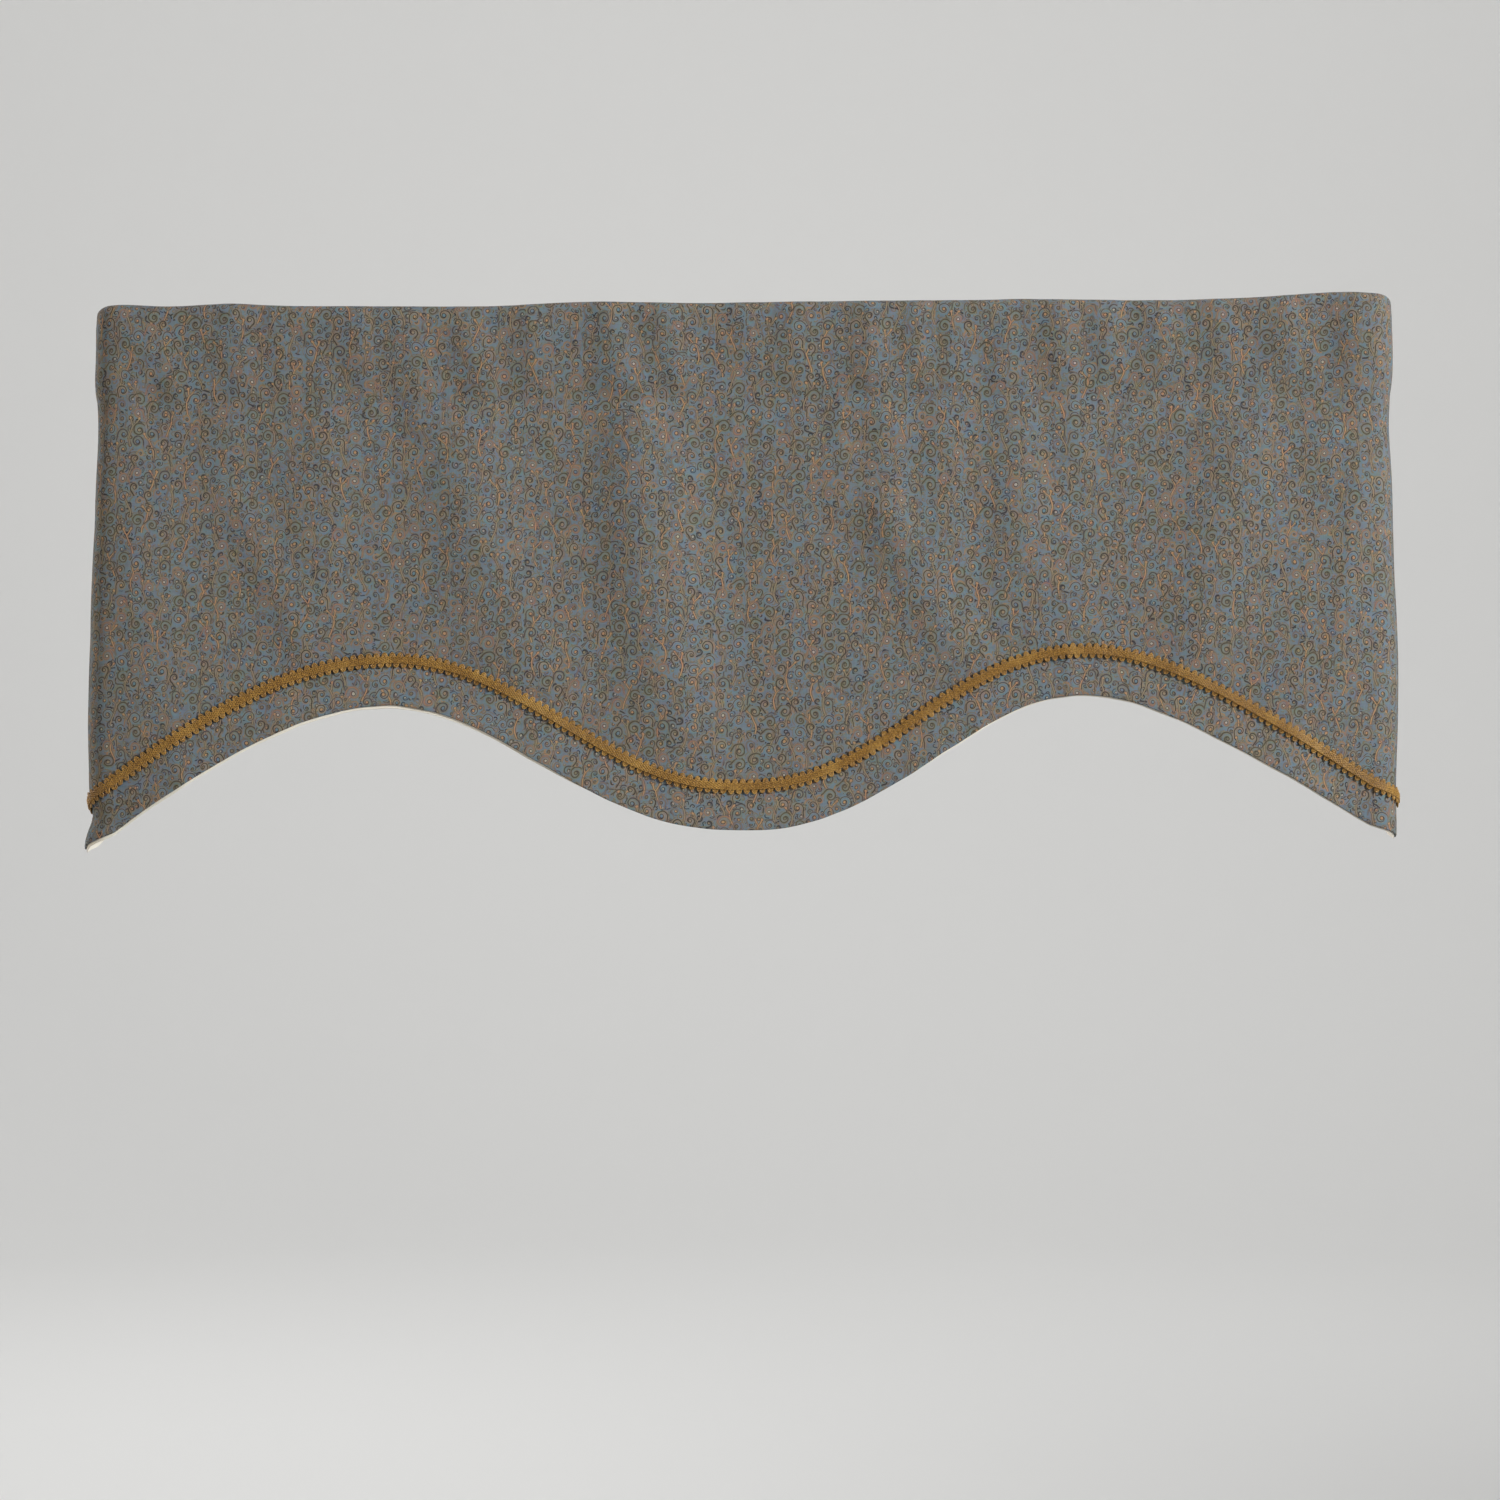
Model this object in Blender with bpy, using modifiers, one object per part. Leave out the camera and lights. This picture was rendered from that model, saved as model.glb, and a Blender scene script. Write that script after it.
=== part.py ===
# Shaped cornice valance: a printed face cloth with a rod pocket along its top,
# a cream lining behind it, and a gimp braid sewn above the wavy lower edge.
#
# Metres, +Z up. The face looks along -Y and the two returns run back along +Y.
# The origin is at the middle of the top edge, where the hidden rod carries it.
#
# Every sheet is read from one hanging surface. A place on it is given by
#   along    metres round the plan, from the middle of the face to the returns
#   drop     metres below the top edge
#   forward  metres in front of the rod's centre line, square to the plan

import math
from collections import namedtuple

import bmesh
import bpy
from mathutils import Vector
from mathutils.bvhtree import BVHTree

COLLECTION_NAME = "cornice_valance"

# Plan of the hanging cloth
TOP_HALF_WIDTH = 0.5065
HEM_HALF_WIDTH = 0.5105
CORNER_RADIUS = 0.012
RETURN_DEPTH = 0.082

# Drops below the top edge
SEAM_DROP = 0.076
CORNER_DROP = 0.429
CENTRE_DROP = 0.418
LOBE_POWER = 1.145
RETURN_RISE = 0.010

# The two sides of the hem are not cut quite alike
HemSide = namedtuple("HemSide", "arch_along arch_drop flank_bend braid_dip")
LEFT_HEM = HemSide(0.2775, 0.3172, 1.55, 0.0033)
RIGHT_HEM = HemSide(0.2671, 0.3128, 3.55, 0.0053)

# Sheets
CLOTH_THICKNESS = 0.0012
LINING_THICKNESS = 0.0010
LAYER_GAP = 0.0003
BACK_HEM = 0.003
LINING_SHOWS = 0.0015
LINING_INSET = 0.012

# Rod pocket and the way the face hangs below it
POCKET_HALF_DEPTH = 0.007
TOP_ROUND = 0.007
POCKET_POWER = 4.0
SEAM_FORWARD = 0.0025
CLOSING_DROP = 0.046
BACK_CREASE_SHARE = 0.3
SEAM_PINCH = 0.5
SEAM_PINCH_REACH = 0.007
UNDER_SEAM_SWELL = 0.0015
UNDER_SEAM_REACH = 0.008
HEM_FORWARD = 0.0100
LEAN_POWER = 1.8

# How the whole piece hangs on its rod
HANG_TILT = 0.0085
TOP_WAVE_REACH = 0.050
LEFT_CORNER_FLARE = 0.0035
RIGHT_CORNER_FLARE = 0.0010
CORNER_FLARE_START = 0.392
CORNER_FLARE_WIDTH = 0.016

# Gimp braid
BRAID_WIDTH = 0.0115
BRAID_THICKNESS = 0.0016
BRAID_CROWN = 0.0004
BRAID_ABOVE_HEM = 0.0357
BRAID_DIP_START = 0.3275
BRAID_DIP_REACH = 0.20
BRAID_GAP = 0.0005
BRAID_SLOPE_SPAN = 0.020
BRAID_END_INSET = 0.003
BRAID_SEARCH = 0.02

# Steps of the grids
FRONT_STEPS = 66
CORNER_STEPS = 4
RETURN_STEPS = 3
TOP_STEPS = 4
POCKET_STEPS = 4
PANEL_STEPS = 10
PANEL_ROW_POWER = 1.15
BRAID_STEPS_PER_COLUMN = 2
SLOPE_STEP = 0.001

# A fold is a ridge in the cloth. It runs from one place to another, leans or
# bows sideways on its way, and fades out towards both of its ends.
Fold = namedtuple("Fold", "top_along start low_along end bow width height")

# Folds of the face below the seam
FACE_FOLDS = [
    Fold(-0.484, 0.070, -0.455, 0.400, 0.000, 0.018, 0.0040),
    Fold(-0.418, 0.080, -0.325, 0.330, -0.020, 0.018, 0.0048),
    Fold(-0.316, 0.070, -0.330, 0.260, 0.000, 0.026, 0.0030),
    Fold(-0.250, 0.070, -0.148, 0.350, 0.006, 0.024, 0.0048),
    Fold(-0.161, 0.060, -0.158, 0.190, 0.000, 0.014, 0.0020),
    Fold(-0.094, 0.060, -0.040, 0.420, -0.008, 0.023, 0.0072),
    Fold(-0.054, 0.060, -0.050, 0.150, 0.000, 0.013, 0.0018),
    Fold(-0.014, 0.060, 0.050, 0.350, -0.006, 0.017, 0.0034),
    Fold(0.066, 0.060, 0.074, 0.210, 0.000, 0.016, 0.0022),
    Fold(0.126, 0.060, 0.165, 0.350, -0.010, 0.025, 0.0068),
    Fold(0.214, 0.060, 0.214, 0.270, 0.004, 0.020, 0.0042),
    Fold(0.247, 0.220, 0.250, 0.340, 0.000, 0.020, 0.0026),
    Fold(0.267, 0.060, 0.272, 0.170, 0.000, 0.017, 0.0022),
    Fold(0.326, 0.060, 0.322, 0.200, 0.000, 0.022, 0.0030),
    Fold(0.410, 0.070, 0.345, 0.360, -0.004, 0.025, 0.0062),
    Fold(0.474, 0.070, 0.470, 0.400, 0.000, 0.022, 0.0036),
]

# Short slanting creases of the rod pocket, down to the seam
POCKET_FOLDS = [
    Fold(-0.475, -0.010, -0.458, 0.090, 0.000, 0.014, 0.0016),
    Fold(-0.410, -0.020, -0.384, 0.085, 0.000, 0.012, 0.0016),
    Fold(-0.350, -0.025, -0.334, 0.090, 0.000, 0.023, 0.0026),
    Fold(-0.290, -0.015, -0.246, 0.095, 0.000, 0.020, 0.0026),
    Fold(-0.219, -0.020, -0.200, 0.090, 0.000, 0.011, 0.0016),
    Fold(-0.168, -0.025, -0.170, 0.085, 0.000, 0.012, 0.0016),
    Fold(-0.127, -0.020, -0.098, 0.090, 0.000, 0.013, 0.0020),
    Fold(-0.070, -0.020, -0.055, 0.090, 0.000, 0.013, 0.0019),
    Fold(-0.002, -0.025, 0.000, 0.085, 0.000, 0.012, 0.0016),
    Fold(0.046, -0.020, 0.043, 0.090, 0.000, 0.016, 0.0020),
    Fold(0.110, -0.025, 0.118, 0.095, 0.000, 0.022, 0.0027),
    Fold(0.182, -0.020, 0.195, 0.095, 0.000, 0.028, 0.0030),
    Fold(0.242, -0.020, 0.258, 0.085, 0.000, 0.011, 0.0015),
    Fold(0.280, -0.020, 0.297, 0.090, 0.000, 0.012, 0.0017),
    Fold(0.324, -0.025, 0.334, 0.085, 0.000, 0.011, 0.0014),
    Fold(0.369, -0.020, 0.394, 0.095, 0.000, 0.014, 0.0020),
    Fold(0.430, -0.025, 0.424, 0.090, 0.000, 0.014, 0.0019),
]
FOLD_FADE = 0.30

# The top edge is not quite straight on its rod
TopWave = namedtuple("TopWave", "along width rise")
TOP_WAVES = [
    TopWave(-0.491, 0.016, 0.0018),
    TopWave(-0.407, 0.022, 0.0021),
    TopWave(-0.170, 0.099, -0.0021),
    TopWave(-0.129, 0.035, 0.0029),
    TopWave(-0.077, 0.023, 0.0007),
    TopWave(0.218, 0.012, 0.0006),
    TopWave(0.330, 0.043, -0.0015),
    TopWave(0.473, 0.033, 0.0037),
]

# The sides stand out round the rod's bends, and again lower down
SideSwell = namedtuple("SideSwell", "drop reach left right")
SIDE_SWELLS = [
    SideSwell(0.068, 0.022, 0.0035, 0.0042),
    SideSwell(0.140, 0.060, 0.0008, 0.0018),
    SideSwell(0.290, 0.060, 0.0017, 0.0024),
]
SIDE_SWELL_START = 0.040

# Colours are base colour, roughness and metallic
CLOTH_FINISH = ((0.165, 0.165, 0.160), 0.90, 0.0)
LINING_FINISH = ((0.740, 0.700, 0.610), 0.85, 0.0)
BRAID_FINISH = ((0.420, 0.220, 0.045), 0.60, 0.0)


def clear_scene():
    for old_object in list(bpy.data.objects):
        bpy.data.objects.remove(old_object, do_unlink=True)


def ease(value):
    """Smooth step from 0 to 1, level at both ends."""
    value = min(max(value, 0.0), 1.0)
    return value * value * (3.0 - 2.0 * value)


def spread(first, last, steps):
    return [first + (last - first) * step / steps for step in range(steps + 1)]


# Plan of the cloth round the rod

def half_width(drop):
    return TOP_HALF_WIDTH + (HEM_HALF_WIDTH - TOP_HALF_WIDTH) * drop / CORNER_DROP


def corner_start(drop):
    return half_width(drop) - CORNER_RADIUS


def corner_end(drop):
    return corner_start(drop) + CORNER_RADIUS * math.pi / 2


def return_end(drop):
    return corner_end(drop) + RETURN_DEPTH - CORNER_RADIUS


def plan_place(along, drop):
    """Place on the plan and the outward direction there, as x, y, x out, y out."""
    side = math.copysign(1.0, along)
    travel = abs(along) * return_end(drop) / return_end(0.0)
    if travel <= corner_start(drop):
        return side * travel, 0.0, 0.0, -1.0
    if travel <= corner_end(drop):
        turn = (travel - corner_start(drop)) / CORNER_RADIUS
        x = corner_start(drop) + CORNER_RADIUS * math.sin(turn)
        y = CORNER_RADIUS * (1.0 - math.cos(turn))
        return side * x, y, side * math.sin(turn), -math.cos(turn)
    y = CORNER_RADIUS + travel - corner_end(drop)
    return side * half_width(drop), y, side, 0.0


# The wavy hem and the line of the braid

def hem_side(along):
    return LEFT_HEM if along < 0.0 else RIGHT_HEM


def hem_drop(along):
    """Drop of the hem: a lobe in the middle, an arch each side, rising returns."""
    side = hem_side(along)
    distance = min(abs(along), corner_end(0.0))
    if distance < side.arch_along:
        wave = math.pi * (distance / side.arch_along) ** LOBE_POWER
        return CENTRE_DROP - (CENTRE_DROP - side.arch_drop) * (1.0 - math.cos(wave)) / 2
    reach = (distance - side.arch_along) / (corner_end(0.0) - side.arch_along)
    bend = math.hypot(1.0, side.flank_bend * reach) - 1.0
    full_bend = math.hypot(1.0, side.flank_bend) - 1.0
    flank = side.arch_drop + (CORNER_DROP - side.arch_drop) * bend / full_bend
    past_corner = (abs(along) - distance) / (return_end(0.0) - corner_end(0.0))
    return flank - RETURN_RISE * past_corner


def hem_slope(along):
    before = hem_drop(along - BRAID_SLOPE_SPAN)
    after = hem_drop(along + BRAID_SLOPE_SPAN)
    return (after - before) / (2.0 * BRAID_SLOPE_SPAN)


def braid_drop(along):
    """Centre of the braid, square above the hem and nearer to it at the corners."""
    dip = hem_side(along).braid_dip * ease((abs(along) - BRAID_DIP_START) / BRAID_DIP_REACH)
    return hem_drop(along) - (BRAID_ABOVE_HEM - dip) * math.hypot(1.0, hem_slope(along))


# Relief of the hanging surface

def fold_height(fold, along, drop):
    way = (drop - fold.start) / (fold.end - fold.start)
    if way <= 0.0 or way >= 1.0:
        return 0.0
    centre = fold.top_along + (fold.low_along - fold.top_along) * way
    centre += fold.bow * 4.0 * way * (1.0 - way)
    sideways = (along - centre) / fold.width
    strength = ease(way / FOLD_FADE) * ease((1.0 - way) / FOLD_FADE)
    return fold.height * strength * math.exp(-sideways * sideways / 2.0)


def seam_hold(drop):
    """Share of the folds left near the stitched seam."""
    away = (drop - SEAM_DROP) / SEAM_PINCH_REACH
    return 1.0 - SEAM_PINCH * math.exp(-away * away / 2.0)


def corner_flare(along, drop):
    """The two lowest points of the cloth kick out a little."""
    flare = LEFT_CORNER_FLARE if along < 0.0 else RIGHT_CORNER_FLARE
    near = (abs(along) - corner_end(0.0)) / CORNER_FLARE_WIDTH
    lift = ease((drop - CORNER_FLARE_START) / (CORNER_DROP - CORNER_FLARE_START))
    return flare * lift * math.exp(-near * near / 2.0)


def side_swell(along, drop):
    near = ease((abs(along) - corner_start(0.0)) / SIDE_SWELL_START + 1.0)
    swell = 0.0
    for row in SIDE_SWELLS:
        away = (drop - row.drop) / row.reach
        swell += (row.left if along < 0.0 else row.right) * math.exp(-away * away / 2.0)
    return swell * near


def relief(along, drop):
    folds = sum(fold_height(fold, along, drop) for fold in FACE_FOLDS + POCKET_FOLDS)
    return folds * seam_hold(drop) + corner_flare(along, drop) + side_swell(along, drop)


def face_forward(along, drop):
    """Middle of the face cloth: full over the rod, held in at the seam."""
    if drop < SEAM_DROP:
        fullness = 1.0 - (drop / SEAM_DROP) ** POCKET_POWER
        base = SEAM_FORWARD + (POCKET_HALF_DEPTH - SEAM_FORWARD) * fullness
    else:
        below = drop - SEAM_DROP
        reach = 1.0 - below / (CORNER_DROP - SEAM_DROP)
        swell = UNDER_SEAM_SWELL * (1.0 - math.exp(-below / UNDER_SEAM_REACH))
        lean = HEM_FORWARD - SEAM_FORWARD - UNDER_SEAM_SWELL
        base = SEAM_FORWARD + swell + lean * (1.0 - abs(reach) ** LEAN_POWER)
    return base + relief(along, drop)


def slant(along, drop):
    """How much longer a step square to the plan is than one square to the cloth."""
    here = face_forward(along, drop)
    sideways = (face_forward(along + SLOPE_STEP, drop) - here) / SLOPE_STEP
    downward = (face_forward(along, drop + SLOPE_STEP) - here) / SLOPE_STEP
    return math.sqrt(1.0 + sideways * sideways + downward * downward)


def behind_face(along, drop, distance):
    return face_forward(along, drop) - distance * slant(along, drop)


def back_forward(along, drop):
    """Rear wall of the rod pocket: away from the rod, then up to the face's seam."""
    away = -POCKET_HALF_DEPTH + BACK_CREASE_SHARE * relief(along, drop)
    against = behind_face(along, drop, CLOTH_THICKNESS + LAYER_GAP)
    closing = ease((drop - CLOSING_DROP) / (SEAM_DROP - CLOSING_DROP))
    return away + (against - away) * closing


def edge_rise(along, drop):
    waves = 0.0
    for wave in TOP_WAVES:
        sideways = (along - wave.along) / wave.width
        waves += wave.rise * math.exp(-sideways * sideways / 2.0)
    return waves * (1.0 - ease(drop / TOP_WAVE_REACH))


def hanging_point(along, drop, forward):
    x, y, x_out, y_out = plan_place(along, drop)
    x += x_out * forward
    y += y_out * forward
    return Vector((x, y, HANG_TILT * x + edge_rise(along, drop) - drop))


# Grids of points

def column_places(inset=0.0):
    """Places along the plan, close together across the face and its corners."""
    corner = spread(corner_start(0.0), corner_end(0.0), CORNER_STEPS)
    back = spread(corner_end(0.0), return_end(0.0), RETURN_STEPS)
    back[-1] -= inset
    side = corner + back[1:]
    front = spread(-corner_start(0.0), corner_start(0.0), FRONT_STEPS)
    return [-place for place in reversed(side)] + front[1:-1] + side


def lining_top():
    return SEAM_DROP + BACK_HEM + 2.0 * LAYER_GAP


def panel_drop(along, step):
    share = (step / PANEL_STEPS) ** PANEL_ROW_POWER
    return lining_top() + (hem_drop(along) - lining_top()) * share


def over_the_top(along):
    """Points over the rod, from the rear wall of the pocket round to the front."""
    front = face_forward(along, TOP_ROUND)
    back = back_forward(along, TOP_ROUND)
    points = []
    for angle in spread(-math.pi / 2, math.pi / 2, TOP_STEPS):
        forward = (front + back) / 2 + (front - back) / 2 * math.sin(angle)
        points.append(hanging_point(along, TOP_ROUND * (1.0 - math.cos(angle)), forward))
    return points


def face_column(along):
    points = over_the_top(along)
    drops = spread(TOP_ROUND, SEAM_DROP, POCKET_STEPS)[1:]
    drops += [panel_drop(along, step) for step in range(PANEL_STEPS + 1)]
    points += [hanging_point(along, drop, face_forward(along, drop)) for drop in drops]
    return points


def back_column(along):
    drops = spread(TOP_ROUND, SEAM_DROP, POCKET_STEPS) + [SEAM_DROP + BACK_HEM]
    drops[0] += LAYER_GAP
    return [hanging_point(along, drop, back_forward(along, drop)) for drop in drops]


def lining_column(along):
    distance = CLOTH_THICKNESS / 2 + LAYER_GAP + LINING_THICKNESS / 2
    drops = [panel_drop(along, step) for step in range(PANEL_STEPS + 1)]
    drops[-1] += LINING_SHOWS
    return [hanging_point(along, drop, behind_face(along, drop, distance)) for drop in drops]


def outer_face_point(face_tree, along, drop):
    """The face's own outer surface at this place, found from in front of it."""
    in_front = hanging_point(along, drop, face_forward(along, drop) + BRAID_SEARCH)
    on_cloth = hanging_point(along, drop, face_forward(along, drop))
    inward = (on_cloth - in_front).normalized()
    place = face_tree.ray_cast(in_front, inward)[0]
    return place, -inward


def braid_column(face_tree, along):
    middle = braid_drop(along)
    half_height = BRAID_WIDTH / 2 * math.hypot(1.0, hem_slope(along))
    points = []
    for across in (-1, 0, 1):
        place, outward = outer_face_point(face_tree, along, middle + across * half_height)
        crown = BRAID_CROWN * (1 - abs(across))
        points.append(place + outward * (BRAID_GAP + crown))
    return points


def braid_places():
    columns = column_places(BRAID_END_INSET)
    places = []
    for start, end in zip(columns, columns[1:]):
        places += spread(start, end, BRAID_STEPS_PER_COLUMN)[:-1]
    return places + [columns[-1]]


# Objects

def finish_material(name, finish):
    colour, roughness, metallic = finish
    material = bpy.data.materials.new(name)
    material.use_nodes = True
    shader = material.node_tree.nodes["Principled BSDF"]
    shader.inputs["Base Color"].default_value = (*colour, 1.0)
    shader.inputs["Roughness"].default_value = roughness
    shader.inputs["Metallic"].default_value = metallic
    material.diffuse_color = (*colour, 1.0)
    return material


def add_sheet(collection, name, columns, thickness, side, finish):
    """A sheet of cloth: an open grid of points, given its thickness."""
    grid = bmesh.new()
    lines = [[grid.verts.new(point) for point in column] for column in columns]
    for left, right in zip(lines, lines[1:]):
        for row in range(len(left) - 1):
            grid.faces.new((left[row], left[row + 1], right[row + 1], right[row]))
    mesh = bpy.data.meshes.new(name)
    grid.to_mesh(mesh)
    grid.free()
    mesh.shade_smooth()
    sheet = bpy.data.objects.new(name, mesh)
    sheet.data.materials.append(finish_material(name, finish))
    collection.objects.link(sheet)
    solidify = sheet.modifiers.new("cloth thickness", "SOLIDIFY")
    solidify.thickness = thickness
    solidify.offset = side
    return sheet


def build_valance():
    clear_scene()
    collection = bpy.data.collections.new(COLLECTION_NAME)
    bpy.context.scene.collection.children.link(collection)

    face_columns = [face_column(along) for along in column_places()]
    face = add_sheet(collection, "face_panel", face_columns, CLOTH_THICKNESS, 0.0, CLOTH_FINISH)

    back_columns = [back_column(along) for along in column_places()]
    add_sheet(collection, "pocket_back", back_columns, CLOTH_THICKNESS, 0.0, CLOTH_FINISH)

    lining_columns = [lining_column(along) for along in column_places(LINING_INSET)]
    add_sheet(collection, "lining", lining_columns, LINING_THICKNESS, 0.0, LINING_FINISH)

    bpy.context.view_layer.update()
    face_tree = BVHTree.FromObject(face, bpy.context.evaluated_depsgraph_get())
    braid_columns = [braid_column(face_tree, along) for along in braid_places()]
    add_sheet(collection, "gimp_braid", braid_columns, BRAID_THICKNESS, 1.0, BRAID_FINISH)


build_valance()
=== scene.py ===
# Cornice valance, the looks: a printed cotton face over a rod pocket, its cream
# lining, and the gold gimp braid sewn above the wavy lower edge.
#
# Metres, +Z up. The face looks along -Y and both returns run back along +Y.
# A place on the cloth is along (round the plan from the middle of the face), drop
# (below the top edge) and forward (in front of the rod's centre line).

import math
from collections import namedtuple

import bmesh
import bpy
import numpy as np
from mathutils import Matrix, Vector


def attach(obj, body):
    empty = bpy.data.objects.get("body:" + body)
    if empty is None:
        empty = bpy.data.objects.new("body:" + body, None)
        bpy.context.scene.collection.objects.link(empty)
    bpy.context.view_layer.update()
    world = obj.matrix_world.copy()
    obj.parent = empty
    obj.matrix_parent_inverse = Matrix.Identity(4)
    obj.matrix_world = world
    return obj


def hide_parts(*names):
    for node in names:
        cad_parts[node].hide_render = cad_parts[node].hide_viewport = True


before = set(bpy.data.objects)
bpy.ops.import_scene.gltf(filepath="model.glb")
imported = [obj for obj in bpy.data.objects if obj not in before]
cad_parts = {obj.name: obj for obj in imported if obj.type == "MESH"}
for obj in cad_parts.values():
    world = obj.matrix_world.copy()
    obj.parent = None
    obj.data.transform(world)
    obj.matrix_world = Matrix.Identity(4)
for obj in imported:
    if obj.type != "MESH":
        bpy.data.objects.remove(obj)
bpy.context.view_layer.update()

# Plan, drops and hang of the cloth, as in the solids
hang = {
    "topHalfWidth": 0.5065,
    "hemHalfWidth": 0.5105,
    "cornerRadius": 0.012,
    "returnDepth": 0.082,
    "seamDrop": 0.076,
    "cornerDrop": 0.429,
    "centreDrop": 0.418,
    "lobePower": 1.145,
    "returnRise": 0.010,
    "pocketHalfDepth": 0.007,
    "topRound": 0.007,
    "seamForward": 0.0020,
    "pocketPower": 1.45,
    "closingDrop": 0.046,
    "backCreaseShare": 0.3,
    "seamPinch": 0.5,
    "seamPinchReach": 0.007,
    "underSeamSwell": 0.0006,
    "underSeamReach": 0.026,
    "hemForward": 0.0100,
    "hemKick": 0.0042,
    "hemKickPower": 1.4,
    "hemKickLimit": 1.4,
    "hemKickReach": 0.070,
    "leanPower": 1.8,
    "tilt": 0.0085,
    "topWaveReach": 0.050,
    "sideSwellStart": 0.040,
    "leftFlare": 0.0035,
    "rightFlare": 0.0010,
    "flareStart": 0.392,
    "flareWidth": 0.016,
    "pinch": 0.0036,
    "pinchDrop": 0.404,
    "pinchReach": 0.0085,
    "pinchWidth": 0.016,
    "foldFade": 0.30,
    "bendFade": 0.8,
    "wobbleLine": 0.3,
    "wobbleEnd": 0.030,
}

# The two sides of the hem are not cut quite alike
HemSide = namedtuple("HemSide", "archAlong archDrop flankBend braidDip")
leftHem = HemSide(0.2775, 0.3172, 1.55, 0.0033)
rightHem = HemSide(0.2671, 0.3128, 3.55, 0.0053)

# A fold runs from one place to another, leans or bows on its way, and fades at both ends
Fold = namedtuple("Fold", "topAlong start lowAlong end bow width height")

# Folds of the face below the seam
faceFolds = [
    Fold(-0.488, 0.060, -0.450, 0.380, 0.000, 0.020, 0.0030),
    Fold(-0.410, 0.050, -0.408, 0.190, 0.000, 0.012, 0.0020),
    Fold(-0.405, 0.130, -0.333, 0.310, 0.000, 0.011, 0.0028),
    Fold(-0.357, 0.110, -0.352, 0.200, 0.000, 0.009, 0.0010),
    Fold(-0.335, 0.050, -0.330, 0.300, 0.000, 0.020, 0.0034),
    Fold(-0.238, 0.040, -0.150, 0.370, -0.004, 0.026, 0.0046),
    Fold(-0.232, 0.050, -0.208, 0.240, 0.000, 0.018, 0.0024),
    Fold(-0.078, 0.020, -0.045, 0.400, -0.006, 0.028, 0.0070),
    Fold(-0.093, 0.030, -0.085, 0.270, 0.000, 0.014, 0.0030),
    Fold(-0.024, 0.040, 0.004, 0.400, -0.004, 0.024, -0.0032),
    Fold(-0.013, 0.050, -0.012, 0.170, 0.000, 0.008, 0.0012),
    Fold(0.046, 0.050, 0.047, 0.140, 0.000, 0.007, 0.0010),
    Fold(0.078, 0.050, 0.076, 0.190, 0.000, 0.009, 0.0016),
    Fold(0.112, 0.020, 0.118, 0.230, 0.000, 0.014, 0.0036),
    Fold(0.088, 0.120, 0.180, 0.315, 0.004, 0.018, 0.0042),
    Fold(0.157, 0.030, 0.160, 0.250, 0.000, 0.015, 0.0034),
    Fold(0.214, 0.030, 0.215, 0.250, 0.000, 0.015, 0.0036),
    Fold(0.235, 0.120, 0.255, 0.320, 0.000, 0.030, 0.0022),
    Fold(0.259, 0.040, 0.262, 0.150, 0.000, 0.009, 0.0014),
    Fold(0.408, 0.030, 0.350, 0.340, 0.002, 0.024, 0.0062),
    Fold(0.455, 0.050, 0.452, 0.160, 0.000, 0.010, 0.0016),
    Fold(0.498, 0.080, 0.452, 0.380, 0.000, 0.012, 0.0034),
]

# Short slanting creases of the rod pocket, down to the seam
pocketFolds = [
    Fold(-0.490, 0.000, -0.430, 0.095, 0.000, 0.012, 0.0030),
    Fold(-0.408, -0.030, -0.395, 0.100, 0.000, 0.011, 0.0024),
    Fold(-0.372, -0.010, -0.362, 0.085, 0.000, 0.008, 0.0012),
    Fold(-0.333, 0.040, -0.330, 0.150, 0.000, 0.008, 0.0012),
    Fold(-0.313, -0.030, -0.300, 0.075, 0.000, 0.010, 0.0018),
    Fold(-0.270, -0.010, -0.252, 0.110, 0.000, 0.012, 0.0026),
    Fold(-0.228, -0.010, -0.192, 0.110, 0.000, 0.011, 0.0034),
    Fold(-0.168, -0.030, -0.160, 0.120, 0.000, 0.010, 0.0028),
    Fold(-0.118, -0.040, -0.085, 0.105, 0.000, 0.011, 0.0034),
    Fold(-0.076, -0.040, -0.042, 0.100, 0.000, 0.010, 0.0028),
    Fold(0.000, -0.040, 0.004, 0.060, 0.000, 0.009, 0.0014),
    Fold(0.036, -0.040, 0.044, 0.080, 0.000, 0.010, 0.0022),
    Fold(0.099, -0.040, 0.101, 0.120, 0.000, 0.011, 0.0034),
    Fold(0.130, -0.030, 0.142, 0.085, 0.000, 0.009, 0.0024),
    Fold(0.163, -0.010, 0.172, 0.100, 0.000, 0.009, 0.0020),
    Fold(0.205, 0.000, 0.205, 0.100, 0.000, 0.008, 0.0014),
    Fold(0.242, -0.050, 0.256, 0.080, 0.000, 0.011, 0.0034),
    Fold(0.279, -0.040, 0.292, 0.080, 0.000, 0.010, 0.0024),
    Fold(0.325, -0.030, 0.338, 0.085, 0.000, 0.010, 0.0022),
    Fold(0.373, -0.050, 0.380, 0.070, 0.000, 0.011, 0.0024),
    Fold(0.423, -0.050, 0.432, 0.070, 0.000, 0.012, 0.0036),
    Fold(0.480, -0.050, 0.495, 0.070, 0.000, 0.012, 0.0032),
]

# The top edge is not quite straight on its rod
TopWave = namedtuple("TopWave", "along width rise")
topWaves = [
    TopWave(-0.491, 0.016, 0.0018),
    TopWave(-0.407, 0.022, 0.0021),
    TopWave(-0.170, 0.099, -0.0021),
    TopWave(-0.129, 0.035, 0.0029),
    TopWave(-0.077, 0.023, 0.0007),
    TopWave(0.218, 0.012, 0.0006),
    TopWave(0.330, 0.043, -0.0015),
    TopWave(0.473, 0.033, 0.0037),
]

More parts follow.
